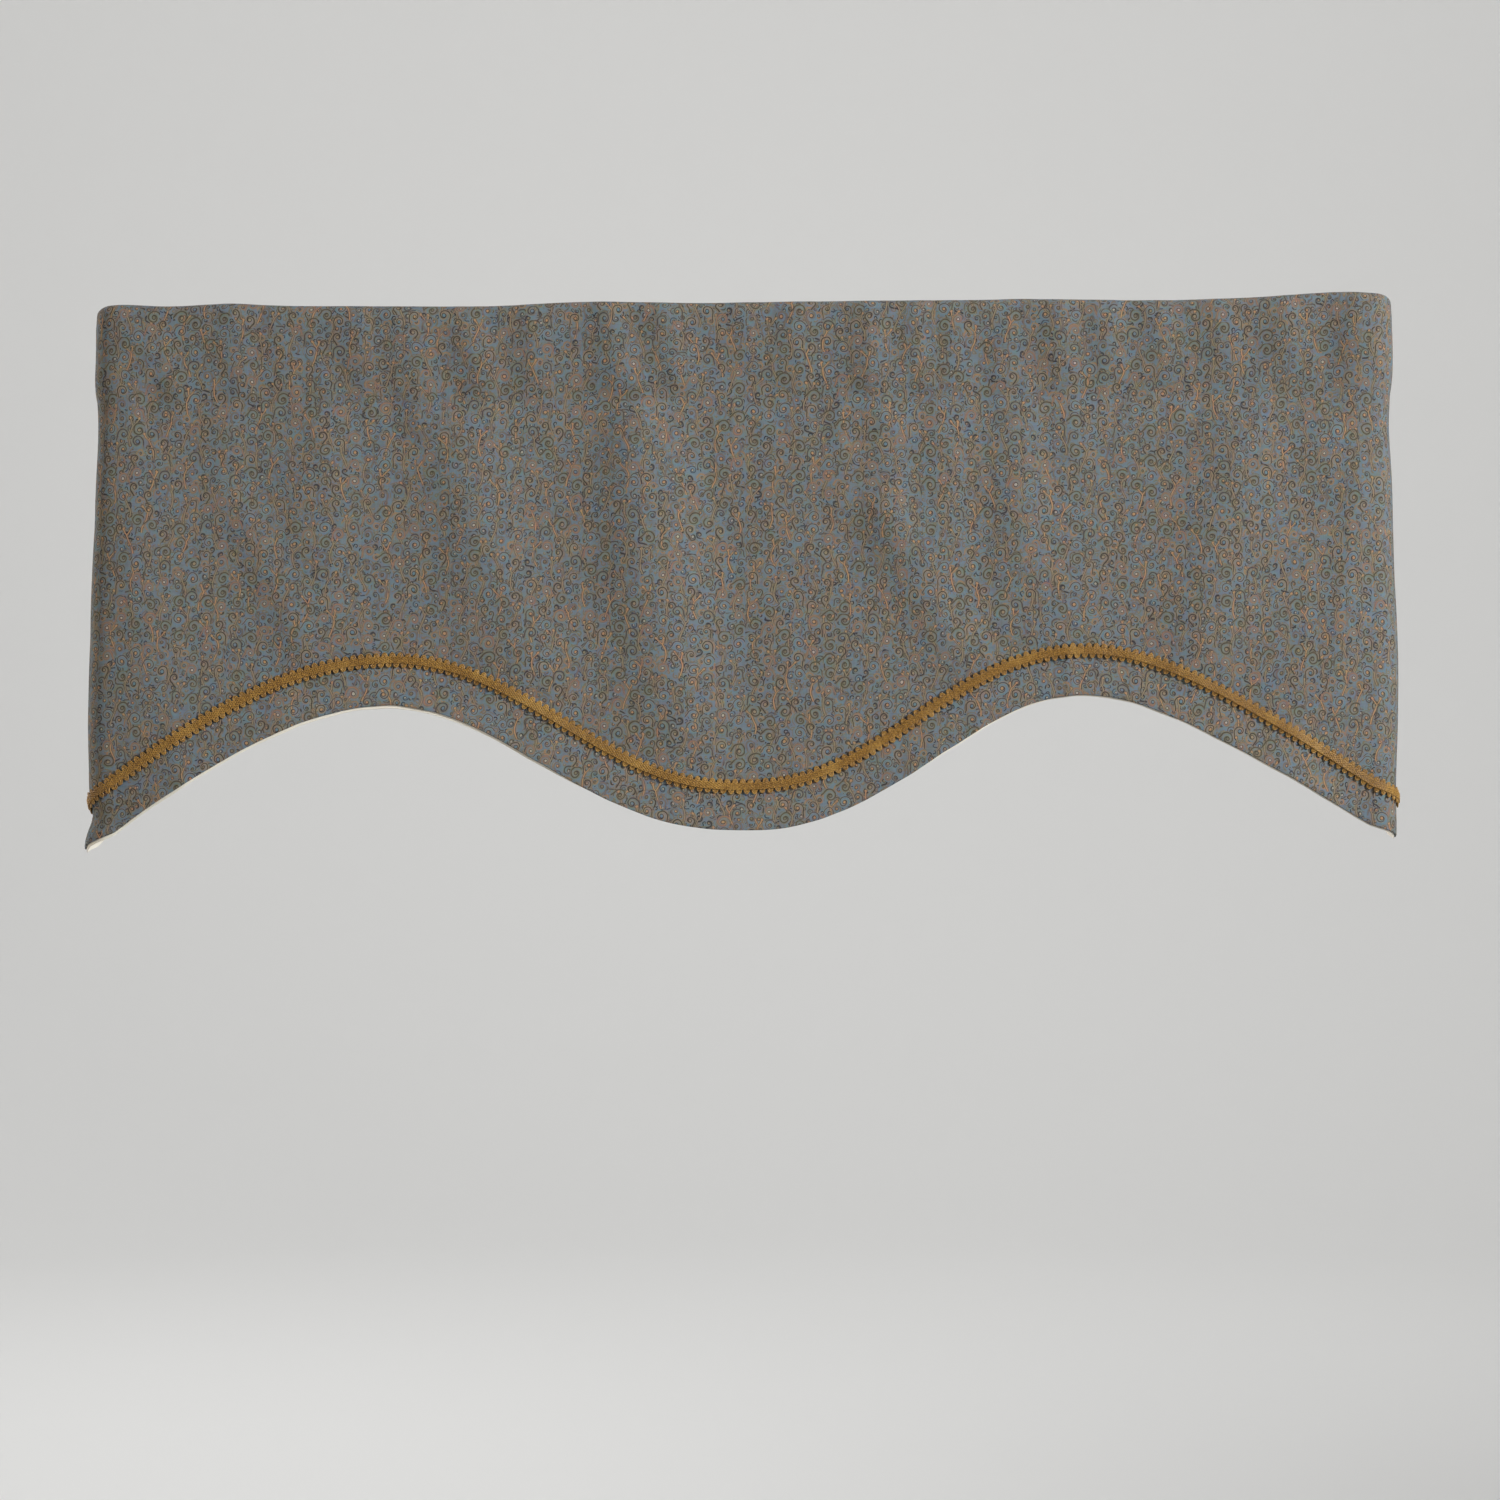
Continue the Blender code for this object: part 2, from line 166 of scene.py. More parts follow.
# Towards each corner the face bends back, more so lower down
BendBack = namedtuple("BendBack", "topReach lowReach topDepth lowDepth grows curve")
leftBend = BendBack(0.012, 0.070, 0.0002, 0.0075, 2.2, 1.7)
rightBend = BendBack(0.010, 0.080, 0.0010, 0.0185, 1.0, 1.10)

# The sides stand out round the rod's bends, and again lower down
SideSwell = namedtuple("SideSwell", "drop reach left right")
sideSwells = [
    SideSwell(0.030, 0.018, 0.0012, 0.0020),
    SideSwell(0.066, 0.018, 0.0042, 0.0044),
    SideSwell(0.140, 0.060, 0.0012, 0.0036),
    SideSwell(0.300, 0.065, 0.0026, 0.0052),
]

# Small puckers that the stitched seam and the rod draw up in the cloth
puckers = {
    "seed": 7,
    "count": 64,
    "width": (0.0032, 0.0062),
    "height": (0.00025, 0.00075),
    "above": (0.012, 0.034),
    "below": (0.014, 0.046),
    "lean": 0.006,
}

# Uneven places: how far apart, how high, and the seed of their chance
Uneven = namedtuple("Uneven", "size height seed")

# The hem line, which is turned by hand
hemWaves = [
    Uneven(0.031, 0.00060, 33),
    Uneven(0.012, 0.00030, 34),
]

# Cloth that was folded and hung
rumples = [
    Uneven(0.055, 0.00045, 3),
    Uneven(0.024, 0.00020, 5),
    Uneven(0.011, 0.00008, 8),
]

# Random hills, read from a table that repeats
hills = {
    "cells": 160,
    "alongShift": 70.0,
    "dropShift": 40.0,
}

# Small easing folds between the braid and the hem
hemPuckers = {
    "seed": 12,
    "count": 84,
    "width": (0.0030, 0.0060),
    "height": (0.00020, 0.00085),
    "lean": 0.004,
    "above": 0.010,
    "below": 0.014,
}

# Short nicks where the cloth is drawn over the rod
topNicks = {
    "seed": 8,
    "count": 64,
    "width": (0.0028, 0.0048),
    "height": (-0.00120, -0.00030),
    "lean": 0.003,
    "above": 0.010,
    "below": 0.017,
}

# Where in its share of the width a pucker may lie
withinShare = (0.1, 0.9)


def ease(value):
    value = np.clip(value, 0.0, 1.0)
    return value * value * (3.0 - 2.0 * value)


def bell(distance, reach):
    # 1 in the middle, and softly less to both sides
    away = distance / reach
    return np.exp(-away * away / 2.0)


# Plan of the cloth round the rod


def halfWidth(drop):
    wider = hang["hemHalfWidth"] - hang["topHalfWidth"]
    return hang["topHalfWidth"] + wider * drop / hang["cornerDrop"]


def cornerStart(drop):
    return halfWidth(drop) - hang["cornerRadius"]


def cornerEnd(drop):
    return cornerStart(drop) + hang["cornerRadius"] * math.pi / 2


def returnEnd(drop):
    return cornerEnd(drop) + hang["returnDepth"] - hang["cornerRadius"]


def planPlace(along, drop):
    # x, y and the outward direction of a place on the plan
    side = np.where(along < 0.0, -1.0, 1.0)
    radius = hang["cornerRadius"]
    travel = np.abs(along) * returnEnd(drop) / returnEnd(0.0)
    turn = np.clip((travel - cornerStart(drop)) / radius, 0.0, math.pi / 2)
    past = np.maximum(travel - cornerEnd(drop), 0.0)
    x = np.minimum(travel, cornerStart(drop)) + radius * np.sin(turn)
    y = radius * (1.0 - np.cos(turn)) + past
    return side * x, y, side * np.sin(turn), -np.cos(turn)


# The wavy hem and the line of the braid


def bySide(along, field, left=leftHem, right=rightHem):
    return np.where(along < 0.0, getattr(left, field), getattr(right, field))


def hemDrop(along):
    distance = np.minimum(np.abs(along), cornerEnd(0.0))
    arch = bySide(along, "archAlong")
    archDrop = bySide(along, "archDrop")
    flankBend = bySide(along, "flankBend")
    wave = math.pi * (np.minimum(distance, arch) / arch) ** hang["lobePower"]
    lobe = hang["centreDrop"] - (hang["centreDrop"] - archDrop) * (1.0 - np.cos(wave)) / 2
    reach = np.maximum(distance - arch, 0.0) / (cornerEnd(0.0) - arch)
    bend = np.hypot(1.0, flankBend * reach) - 1.0
    fullBend = np.hypot(1.0, flankBend) - 1.0
    flank = archDrop + (hang["cornerDrop"] - archDrop) * bend / fullBend
    pastCorner = (np.abs(along) - distance) / (returnEnd(0.0) - cornerEnd(0.0))
    return np.where(distance < arch, lobe, flank) - hang["returnRise"] * pastCorner


def hemWobble(along):
    wobble = sum(softNoise(along, hang["wobbleLine"], row) for row in hemWaves)
    return wobble * ease((returnEnd(0.0) - np.abs(along)) / hang["wobbleEnd"])


def hemSlope(along, span=0.020):
    return (hemDrop(along + span) - hemDrop(along - span)) / (2.0 * span)


def braidDrop(along):
    dip = bySide(along, "braidDip") * ease((np.abs(along) - gimp["dipStart"]) / gimp["dipReach"])
    dip = dip + gimp["rightDip"] * ease((along - gimp["rightDipStart"]) / gimp["rightDipReach"])
    return hemDrop(along) - (gimp["aboveHem"] - dip) * np.hypot(1.0, hemSlope(along))


# Relief of the hanging surface


def foldHeight(fold, along, drop):
    way = (drop - fold.start) / (fold.end - fold.start)
    centre = fold.topAlong + (fold.lowAlong - fold.topAlong) * way
    centre = centre + fold.bow * 4.0 * way * (1.0 - way)
    strength = ease(way / hang["foldFade"]) * ease((1.0 - way) / hang["foldFade"])
    return fold.height * strength * bell(along - centre, fold.width)


def seamHold(drop):
    return 1.0 - hang["seamPinch"] * bell(drop - hang["seamDrop"], hang["seamPinchReach"])


def cornerFlare(along, drop):
    flare = np.where(along < 0.0, hang["leftFlare"], hang["rightFlare"])
    lift = ease((drop - hang["flareStart"]) / (hang["cornerDrop"] - hang["flareStart"]))
    return flare * lift * bell(np.abs(along) - cornerEnd(0.0), hang["flareWidth"])


def leftPinch(along, drop):
    # the end of the braid draws the left corner in, just above its lowest point
    near = bell(along + cornerEnd(0.0), hang["pinchWidth"])
    return -hang["pinch"] * near * bell(drop - hang["pinchDrop"], hang["pinchReach"])


def sideSwell(along, drop):
    near = ease((np.abs(along) - cornerStart(0.0)) / hang["sideSwellStart"] + 1.0)
    swell = sum(
        np.where(along < 0.0, row.left, row.right) * bell(drop - row.drop, row.reach)
        for row in sideSwells
    )
    return swell * near


def bendBack(along, drop):
    topReach, lowReach, topDepth, lowDepth, grows, curve = (
        bySide(along, field, leftBend, rightBend) for field in BendBack._fields
    )
    way = np.clip(drop / hang["cornerDrop"], 0.0, 1.0) ** grows
    reach = topReach + (lowReach - topReach) * way
    depth = topDepth + (lowDepth - topDepth) * way
    near = np.clip((np.abs(along) - cornerStart(0.0) + reach) / reach, 0.0, 1.0) ** curve
    past = (np.abs(along) - cornerEnd(0.0)) / (returnEnd(0.0) - cornerEnd(0.0))
    return depth * near * (1.0 - ease(past / hang["bendFade"]))


def softNoise(along, drop, uneven):
    # smooth random hills, the same each time
    cells = hills["cells"]
    table = np.random.default_rng(uneven.seed).uniform(-1.0, 1.0, (cells, cells))
    u = along / uneven.size + hills["alongShift"]
    v = drop / uneven.size + hills["dropShift"]
    column = np.floor(u).astype(int)
    row = np.floor(v).astype(int)
    a = ease(u - column)
    b = ease(v - row)
    column = column % (cells - 1)
    row = row % (cells - 1)
    upper = table[column, row] * (1 - a) + table[column + 1, row] * a
    lower = table[column, row + 1] * (1 - a) + table[column + 1, row + 1] * a
    return uneven.height * (upper * (1 - b) + lower * b)


def scattered(values, end, rng):
    # place, width and height of one small fold in each equal share of the cloth's width
    for number in range(values["count"]):
        place = -end + 2 * end * (number + rng.uniform(*withinShare)) / values["count"]
        yield place, rng.uniform(*values["width"]), rng.uniform(*values["height"])


def makePuckers():
    rng = np.random.default_rng(puckers["seed"])
    made = []
    for place, width, height in scattered(puckers, returnEnd(0.0), rng):
        height = height * rng.choice((-1.0, 1.0))
        above = hang["seamDrop"] - rng.uniform(*puckers["above"])
        below = hang["seamDrop"] + rng.uniform(*puckers["below"])
        lean = rng.uniform(-puckers["lean"], puckers["lean"])
        made.append(Fold(place - lean, above, place + lean, below, 0.0, width, height))
    return made


def makeEasing(values, upper, lower):
    # small folds from an upper line to a lower one
    rng = np.random.default_rng(values["seed"])
    made = []
    for place, width, height in scattered(values, cornerEnd(0.0), rng):
        lean = rng.uniform(-values["lean"], values["lean"])
        above = float(upper(place)) - values["above"]
        below = float(lower(place)) + values["below"]
        made.append(Fold(place - lean, above, place + lean, below, 0.0, width, height))
    return made


def topLine(place):
    return 0.0


seamPuckers = makePuckers()


def relief(along, drop):
    folds = sum(foldHeight(fold, along, drop) for fold in faceFolds + pocketFolds)
    folds = folds * seamHold(drop) + cornerFlare(along, drop) + sideSwell(along, drop)
    folds = folds + leftPinch(along, drop)
    folds = folds + sum(foldHeight(fold, along, drop) for fold in seamPuckers + easingFolds)
    return folds + sum(softNoise(along, drop, row) for row in rumples)


def hemKick(along, drop):
    # below the braid the hem stands a little further forward, but not on the returns
    line = braidDrop(along)
    way = np.clip((drop - line) / (hemDrop(along) - line), 0.0, hang["hemKickLimit"])
    reach = hang["hemKickReach"]
    front = 1.0 - ease((np.abs(along) - cornerStart(0.0) + reach) / reach)
    return hang["hemKick"] * way ** hang["hemKickPower"] * front


def faceForward(along, drop):
    # middle of the face cloth: full over the rod, held in at the seam
    seam = hang["seamDrop"]
    fullness = 1.0 - np.clip(drop / seam, 0.0, 1.0) ** hang["pocketPower"]
    pocket = hang["seamForward"] + (hang["pocketHalfDepth"] - hang["seamForward"]) * fullness
    below = np.maximum(drop - seam, 0.0)
    reach = 1.0 - below / (hang["cornerDrop"] - seam)
    swell = hang["underSeamSwell"] * (1.0 - np.exp(-below / hang["underSeamReach"]))
    lean = hang["hemForward"] - hang["seamForward"] - hang["underSeamSwell"]
    panel = hang["seamForward"] + swell + lean * (1.0 - np.abs(reach) ** hang["leanPower"])
    return np.where(drop < seam, pocket, panel) + relief(along, drop) + hemKick(along, drop)


def slant(along, drop, step=0.001):
    # how much longer a step square to the plan is than one square to the cloth
    here = faceForward(along, drop)
    sideways = (faceForward(along + step, drop) - here) / step
    downward = (faceForward(along, drop + step) - here) / step
    return np.sqrt(1.0 + sideways * sideways + downward * downward)


def behindFace(along, drop, distance):
    return faceForward(along, drop) - distance * slant(along, drop)


def backForward(along, drop):
    # rear wall of the rod pocket: away from the rod, then up to the face's seam
    away = -hang["pocketHalfDepth"] + hang["backCreaseShare"] * relief(along, drop)
    against = behindFace(along, drop, layers["pocketBack"])
    closing = ease((drop - hang["closingDrop"]) / (hang["seamDrop"] - hang["closingDrop"]))
    return away + (against - away) * closing


def edgeRise(along, drop):
    waves = sum(wave.rise * bell(along - wave.along, wave.width) for wave in topWaves)
    return waves * (1.0 - ease(drop / hang["topWaveReach"]))


def hangingPoint(along, drop, forward):
    x, y, xOut, yOut = planPlace(along, drop)
    x = x + xOut * forward
    y = y + yOut * forward + bendBack(along, drop)
    return np.stack([x, y, hang["tilt"] * x + edgeRise(along, drop) - drop], axis=-1)


# Distances of the layers behind the middle of the face cloth
layers = {
    "cloth": 0.0007,
    "sideHem": 0.0011,
    "lowerHem": 0.0009,
    "tuckedLining": 0.0008,
    "pocketFlap": 0.0014,
    "pocketBack": 0.0022,
    "liningTurn": 0.00155,
    "lining": 0.00205,
    "liningCloth": 0.0004,
}


def gridSheet(name, points, flat, material, thickness):
    # an open grid of points, given its thickness. Rows run down, columns run along
    columns, rows = points.shape[:2]
    mesh = bpy.data.meshes.new(name)
    index = np.arange(columns * rows).reshape(columns, rows)
    quads = np.stack([index[:-1, :-1], index[:-1, 1:], index[1:, 1:], index[1:, :-1]], axis=-1)
    quads = quads.reshape(-1, 4)
    mesh.from_pydata(points.reshape(-1, 3).tolist(), [], quads.tolist())
    flatMap = mesh.uv_layers.new(name="flatCloth")
    flatMap.uv.foreach_set("vector", flat.reshape(-1, 2)[quads.ravel()].astype(np.float32).ravel())
    mesh.shade_smooth()
    mesh.materials.append(material)
    sheet = bpy.data.objects.new(name, mesh)
    bpy.context.scene.collection.objects.link(sheet)
    solidify = sheet.modifiers.new("thickness", "SOLIDIFY")
    solidify.thickness = thickness
    solidify.offset = 0.0
    return sheet


def applied(piece):
    # the piece as a plain mesh, with none of its modifiers left
    bpy.context.view_layer.update()
    depsgraph = bpy.context.evaluated_depsgraph_get()
    mesh = bpy.data.meshes.new_from_object(piece.evaluated_get(depsgraph), depsgraph=depsgraph)
    piece.modifiers.clear()
    old = piece.data
    piece.data = mesh
    bpy.data.meshes.remove(old)
    mesh.name = piece.name
    return piece


def triangles(piece):
    return sum(len(face.vertices) - 2 for face in piece.data.polygons)


# Nodes


def feed(tree, value, socket):
    if isinstance(value, bpy.types.NodeSocket):
        tree.links.new(value, socket)
    else:
        socket.default_value = value


def calc(tree, operation, *terms):
    node = tree.nodes.new("ShaderNodeMath")
    node.operation = operation
    for term, socket in zip(terms, node.inputs):
        feed(tree, term, socket)
    return node.outputs[0]


def plus(tree, first, second):
    return calc(tree, "ADD", first, second)


def minus(tree, first, second):
    return calc(tree, "SUBTRACT", first, second)


def times(tree, first, second):
    return calc(tree, "MULTIPLY", first, second)


def vectorCalc(tree, operation, *terms, scale=None):
    node = tree.nodes.new("ShaderNodeVectorMath")
    node.operation = operation
    for term, socket in zip(terms, node.inputs):
        feed(tree, term, socket)
    if scale is not None:
        feed(tree, scale, node.inputs["Scale"])
    return node.outputs["Value" if operation in ("LENGTH", "DOT_PRODUCT") else "Vector"]


def remap(tree, value, low, high, lowOut, highOut):
    node = tree.nodes.new("ShaderNodeMapRange")
    node.interpolation_type = "SMOOTHSTEP"
    terms = (value, low, high, lowOut, highOut)
    for term, name in zip(terms, ("Value", "From Min", "From Max", "To Min", "To Max")):
        feed(tree, term, node.inputs[name])
    return node.outputs["Result"]


def within(tree, distance, edge, blur):
    # 1 up to the edge, then softly down to 0
    return remap(tree, distance, edge, plus(tree, edge, blur), 1.0, 0.0)


def mixColours(tree, share, first, second, blend="MIX"):
    node = tree.nodes.new("ShaderNodeMix")
    node.data_type = "RGBA"
    node.blend_type = blend
    feed(tree, share, node.inputs[0])
    feed(tree, first, node.inputs[6])
    feed(tree, second, node.inputs[7])
    return node.outputs[2]


def separate(tree, vector):
    node = tree.nodes.new("ShaderNodeSeparateXYZ")
    feed(tree, vector, node.inputs[0])
    return node.outputs[0], node.outputs[1], node.outputs[2]


def combine(tree, x, y, z=0.0):
    node = tree.nodes.new("ShaderNodeCombineXYZ")
    for term, socket in zip((x, y, z), node.inputs):
        feed(tree, term, socket)
    return node.outputs[0]


def noise(tree, place, scale, detail=2.0, roughness=0.5):
    node = tree.nodes.new("ShaderNodeTexNoise")
    feed(tree, place, node.inputs["Vector"])
    feed(tree, scale, node.inputs["Scale"])
    node.inputs["Detail"].default_value = detail
    node.inputs["Roughness"].default_value = roughness
    return node.outputs["Fac"], node.outputs["Color"]


def cellChances(tree, column, row, seed):
    # four random values for each cell of a grid
    dice = tree.nodes.new("ShaderNodeTexWhiteNoise")
    dice.noise_dimensions = "3D"
    feed(tree, combine(tree, column, row, seed), dice.inputs["Vector"])
    return (*separate(tree, dice.outputs["Color"]), dice.outputs["Value"])


def makeGroup(name, inputs, outputs, kind="ShaderNodeTree"):
    tree = bpy.data.node_groups.new(name, kind)
    for label, socketKind, value in inputs:
        socket = tree.interface.new_socket(label, in_out="INPUT", socket_type=socketKind)
        if value is not None:
            socket.default_value = value
    for label, socketKind in outputs:
        tree.interface.new_socket(label, in_out="OUTPUT", socket_type=socketKind)
    start = tree.nodes.new("NodeGroupInput")
    finish = tree.nodes.new("NodeGroupOutput")
    return tree, start.outputs, finish.inputs


def floatInputs(**values):
    return [(label.replace("_", " "), float1, value) for label, value in values.items()]


def floatOutputs(*labels):
    return [(label, float1) for label in labels]


def placeGroup(tree, group, **values):
    kinds = {"ShaderNodeTree": "ShaderNodeGroup", "GeometryNodeTree": "GeometryNodeGroup"}
    node = tree.nodes.new(kinds[group.bl_idname])
    node.node_tree = group
    for label, value in values.items():
        feed(tree, value, node.inputs[label.replace("_", " ")])
    return node.outputs


float1 = "NodeSocketFloat"
vector3 = "NodeSocketVector"
colour4 = "NodeSocketColor"
shape = "NodeSocketGeometry"


def fromSrgb(red, green, blue):
    # screen values from 0 to 255, as the colours that a shader takes
    shares = np.array([red, green, blue]) / 255
    linear = np.where(shares > 0.04045, ((shares + 0.055) / 1.055) ** 2.4, shares / 12.92)
    return (*linear.tolist(), 1.0)


# The all-over scroll print. Sizes in metres
printing = {
    "teal": fromSrgb(95, 116, 127),
    "slate": fromSrgb(101, 114, 123),
    "mauve": fromSrgb(103, 108, 110),
    "line": fromSrgb(46, 44, 46),
    "night": fromSrgb(54, 60, 70),
    "dusk": fromSrgb(58, 54, 64),
    "bark": fromSrgb(64, 57, 50),
    "violet": fromSrgb(95, 92, 98),
    "brown": fromSrgb(109, 98, 82),
    "warm": fromSrgb(127, 110, 88),
    "moss": fromSrgb(111, 109, 91),
    "rust": fromSrgb(140, 107, 79),
    "tan": fromSrgb(131, 117, 97),
    "olive": fromSrgb(106, 100, 84),
    "copper": fromSrgb(156, 124, 94),
    "pale": fromSrgb(156, 148, 136),
    "faded": fromSrgb(118, 116, 112),
    "fadedShare": 0.65,
    "warp": 0.0012,
    "warpScale": 90.0,
    "patchScale": 60.0,
    "patchRange": (0.44, 0.66),
    "patchShare": 0.9,
    "stainScale": 190.0,
    "stain": 0.45,
    "lineBlur": 0.00025,
}

# Scrolls of three sizes, and the stems between them
motifSizes = {
    "large": {
        "Cell": 0.0120, "Turns": 1.40, "Turn_Gap": 0.0032, "Line": 0.00024, "Rim": 0.00056,
        "Tail": 0.0084, "Eye": 0.0009, "Lean": 1.6, "Wander": 0.30, "Share": 0.94, "Seed": 3.0,
        "Arc": 0.0017, "Reach": 0.0032,
    },
    "small": {
        "Cell": 0.0078, "Turns": 1.30, "Turn_Gap": 0.0025, "Line": 0.00022, "Rim": 0.00042,
        "Tail": 0.0055, "Eye": 0.0007, "Lean": 3.0, "Wander": 0.36, "Share": 0.95, "Seed": 11.0,
        "Arc": 0.0017, "Reach": 0.00256,
    },
    "tiny": {
        "Cell": 0.0049, "Turns": 1.0, "Turn_Gap": 0.0017, "Line": 0.00028, "Rim": 0.00030,
        "Tail": 0.0024, "Eye": 0.0005, "Lean": 6.0, "Wander": 0.40, "Share": 0.85, "Seed": 19.0,
    },
    "stems": {
        "Across": 0.0150, "Length": 0.0290, "Line": 0.00040, "Rim": 0.00045, "Sway": 0.0026,
        "Share": 0.97, "Seed": 5.0, "Reach": 0.0032,
    },
}

# Colours that a motif takes by chance
palettes = {
    "glows": ["warm", "slate", "warm", "moss", "warm", "teal", "moss"],
    "lines": ["line", "brown", "line", "dusk", "rust", "night", "bark"],
    "largeRims": ["brown", "violet", "tan", "olive", "violet", "tan", "olive"],
    "largeEyes": [
        "tan", "copper", "brown", "teal", "copper", "slate", "pale", "copper", "tan", "olive",
    ],
    "smallRims": ["night", "brown", "olive", "tan", "violet"],
    "smallEyes": ["tan", "copper", "slate", "brown", "pale"],
    "tinyLines": ["brown", "night", "line", "olive", "brown"],
    "twigs": ["tan", "copper", "tan"],
}

# Layers of dye, first to last. A layer stays out of the scrolls that it lies under. The
# glows are dye that spread a little round the lines
Dye = namedtuple("Dye", "motif mask paint under strength")
dyes = [
    Dye("small", "Inside", "teal", ["large"], 0.70),
    Dye("large", "Inside", "teal", [], 0.90),
    Dye("small", "Glow", "glows", ["large"], 0.60),
    Dye("large", "Glow", "glows", [], 0.80),
    Dye("stems", "Glow", "warm", [], 0.90),
    Dye("large", "Eye Glow", "copper", [], 0.45),
    Dye("tiny", "Stroke", "tinyLines", ["large", "small"], 1.0),
    Dye("tiny", "Eye", "tan", ["large", "small"], 0.60),
    Dye("small", "Rim", "smallRims", ["large"], 0.60),
    Dye("small", "Stroke", "lines", ["large"], 0.90),
    Dye("small", "Eye Rim", "line", ["large"], 0.80),
    Dye("small", "Eye", "smallEyes", ["large"], 0.80),
    Dye("stems", "Rim", "line", [], 0.65),
    Dye("stems", "Stroke", "twigs", [], 1.0),
    Dye("stems", "Bead", "copper", [], 1.0),
    Dye("large", "Arc", "brown", [], 0.90),
    Dye("large", "Rim", "largeRims", [], 0.65),
    Dye("large", "Stroke", "lines", [], 0.90),
    Dye("large", "Eye Rim", "line", [], 0.90),
    Dye("large", "Eye", "largeEyes", [], 1.0),
]


# How far the threads rise and dip, and how slowly their slubs change along them
weaving = {
    "middle": 0.55,
    "dip": 0.45,
    "slubScale": 0.9,
    "slubStretch": 0.02,
}


def weaveGroup():
    # plain weave: threads that pass over and under each other
    tree, given, made = makeGroup(
        "plainWeave",
        [("Place", vector3, None), *floatInputs(Thread_Gap=0.00046, Slub=0.35)],
        floatOutputs("Height", "Shade"),
    )
    u, v, _ = separate(tree, given["Place"])
    u = calc(tree, "DIVIDE", u, given["Thread Gap"])
    v = calc(tree, "DIVIDE", v, given["Thread Gap"])
    cells = plus(tree, calc(tree, "FLOOR", u), calc(tree, "FLOOR", v))
    over = calc(tree, "MULTIPLY_ADD", calc(tree, "FLOORED_MODULO", cells, 2.0), 2.0, -1.0)
    uArc = calc(tree, "SINE", times(tree, calc(tree, "FRACT", u), math.pi))
    vArc = calc(tree, "SINE", times(tree, calc(tree, "FRACT", v), math.pi))
    lifted = times(tree, over, weaving["dip"])
    warp = times(tree, uArc, calc(tree, "MULTIPLY_ADD", lifted, vArc, weaving["middle"]))
    dropped = times(tree, lifted, -1.0)
    weft = times(tree, vArc, calc(tree, "MULTIPLY_ADD", dropped, uArc, weaving["middle"]))
    feed(tree, calc(tree, "MAXIMUM", warp, weft), made["Height"])
    long = combine(tree, calc(tree, "FLOOR", u), times(tree, v, weaving["slubStretch"]))
    wide = combine(tree, times(tree, u, weaving["slubStretch"]), calc(tree, "FLOOR", v), 7.0)
    scale = weaving["slubScale"]
    slubs = plus(tree, noise(tree, long, scale)[0], noise(tree, wide, scale)[0])
    uneven = times(tree, minus(tree, slubs, 1.0), given["Slub"])
    feed(tree, plus(tree, uneven, 1.0), made["Shade"])
    return tree


# The form of one scroll
scroll = {
    "sizeSpread": 0.4,
    "leastSize": 0.85,
    "turnSpread": 0.5,
    "tailBend": 30.0,
    "eyeRim": 0.0005,
    "eyeBlur": 0.0003,
    "insideShare": 0.92,
    "arcEdge": (0.00018, 0.00045),
}


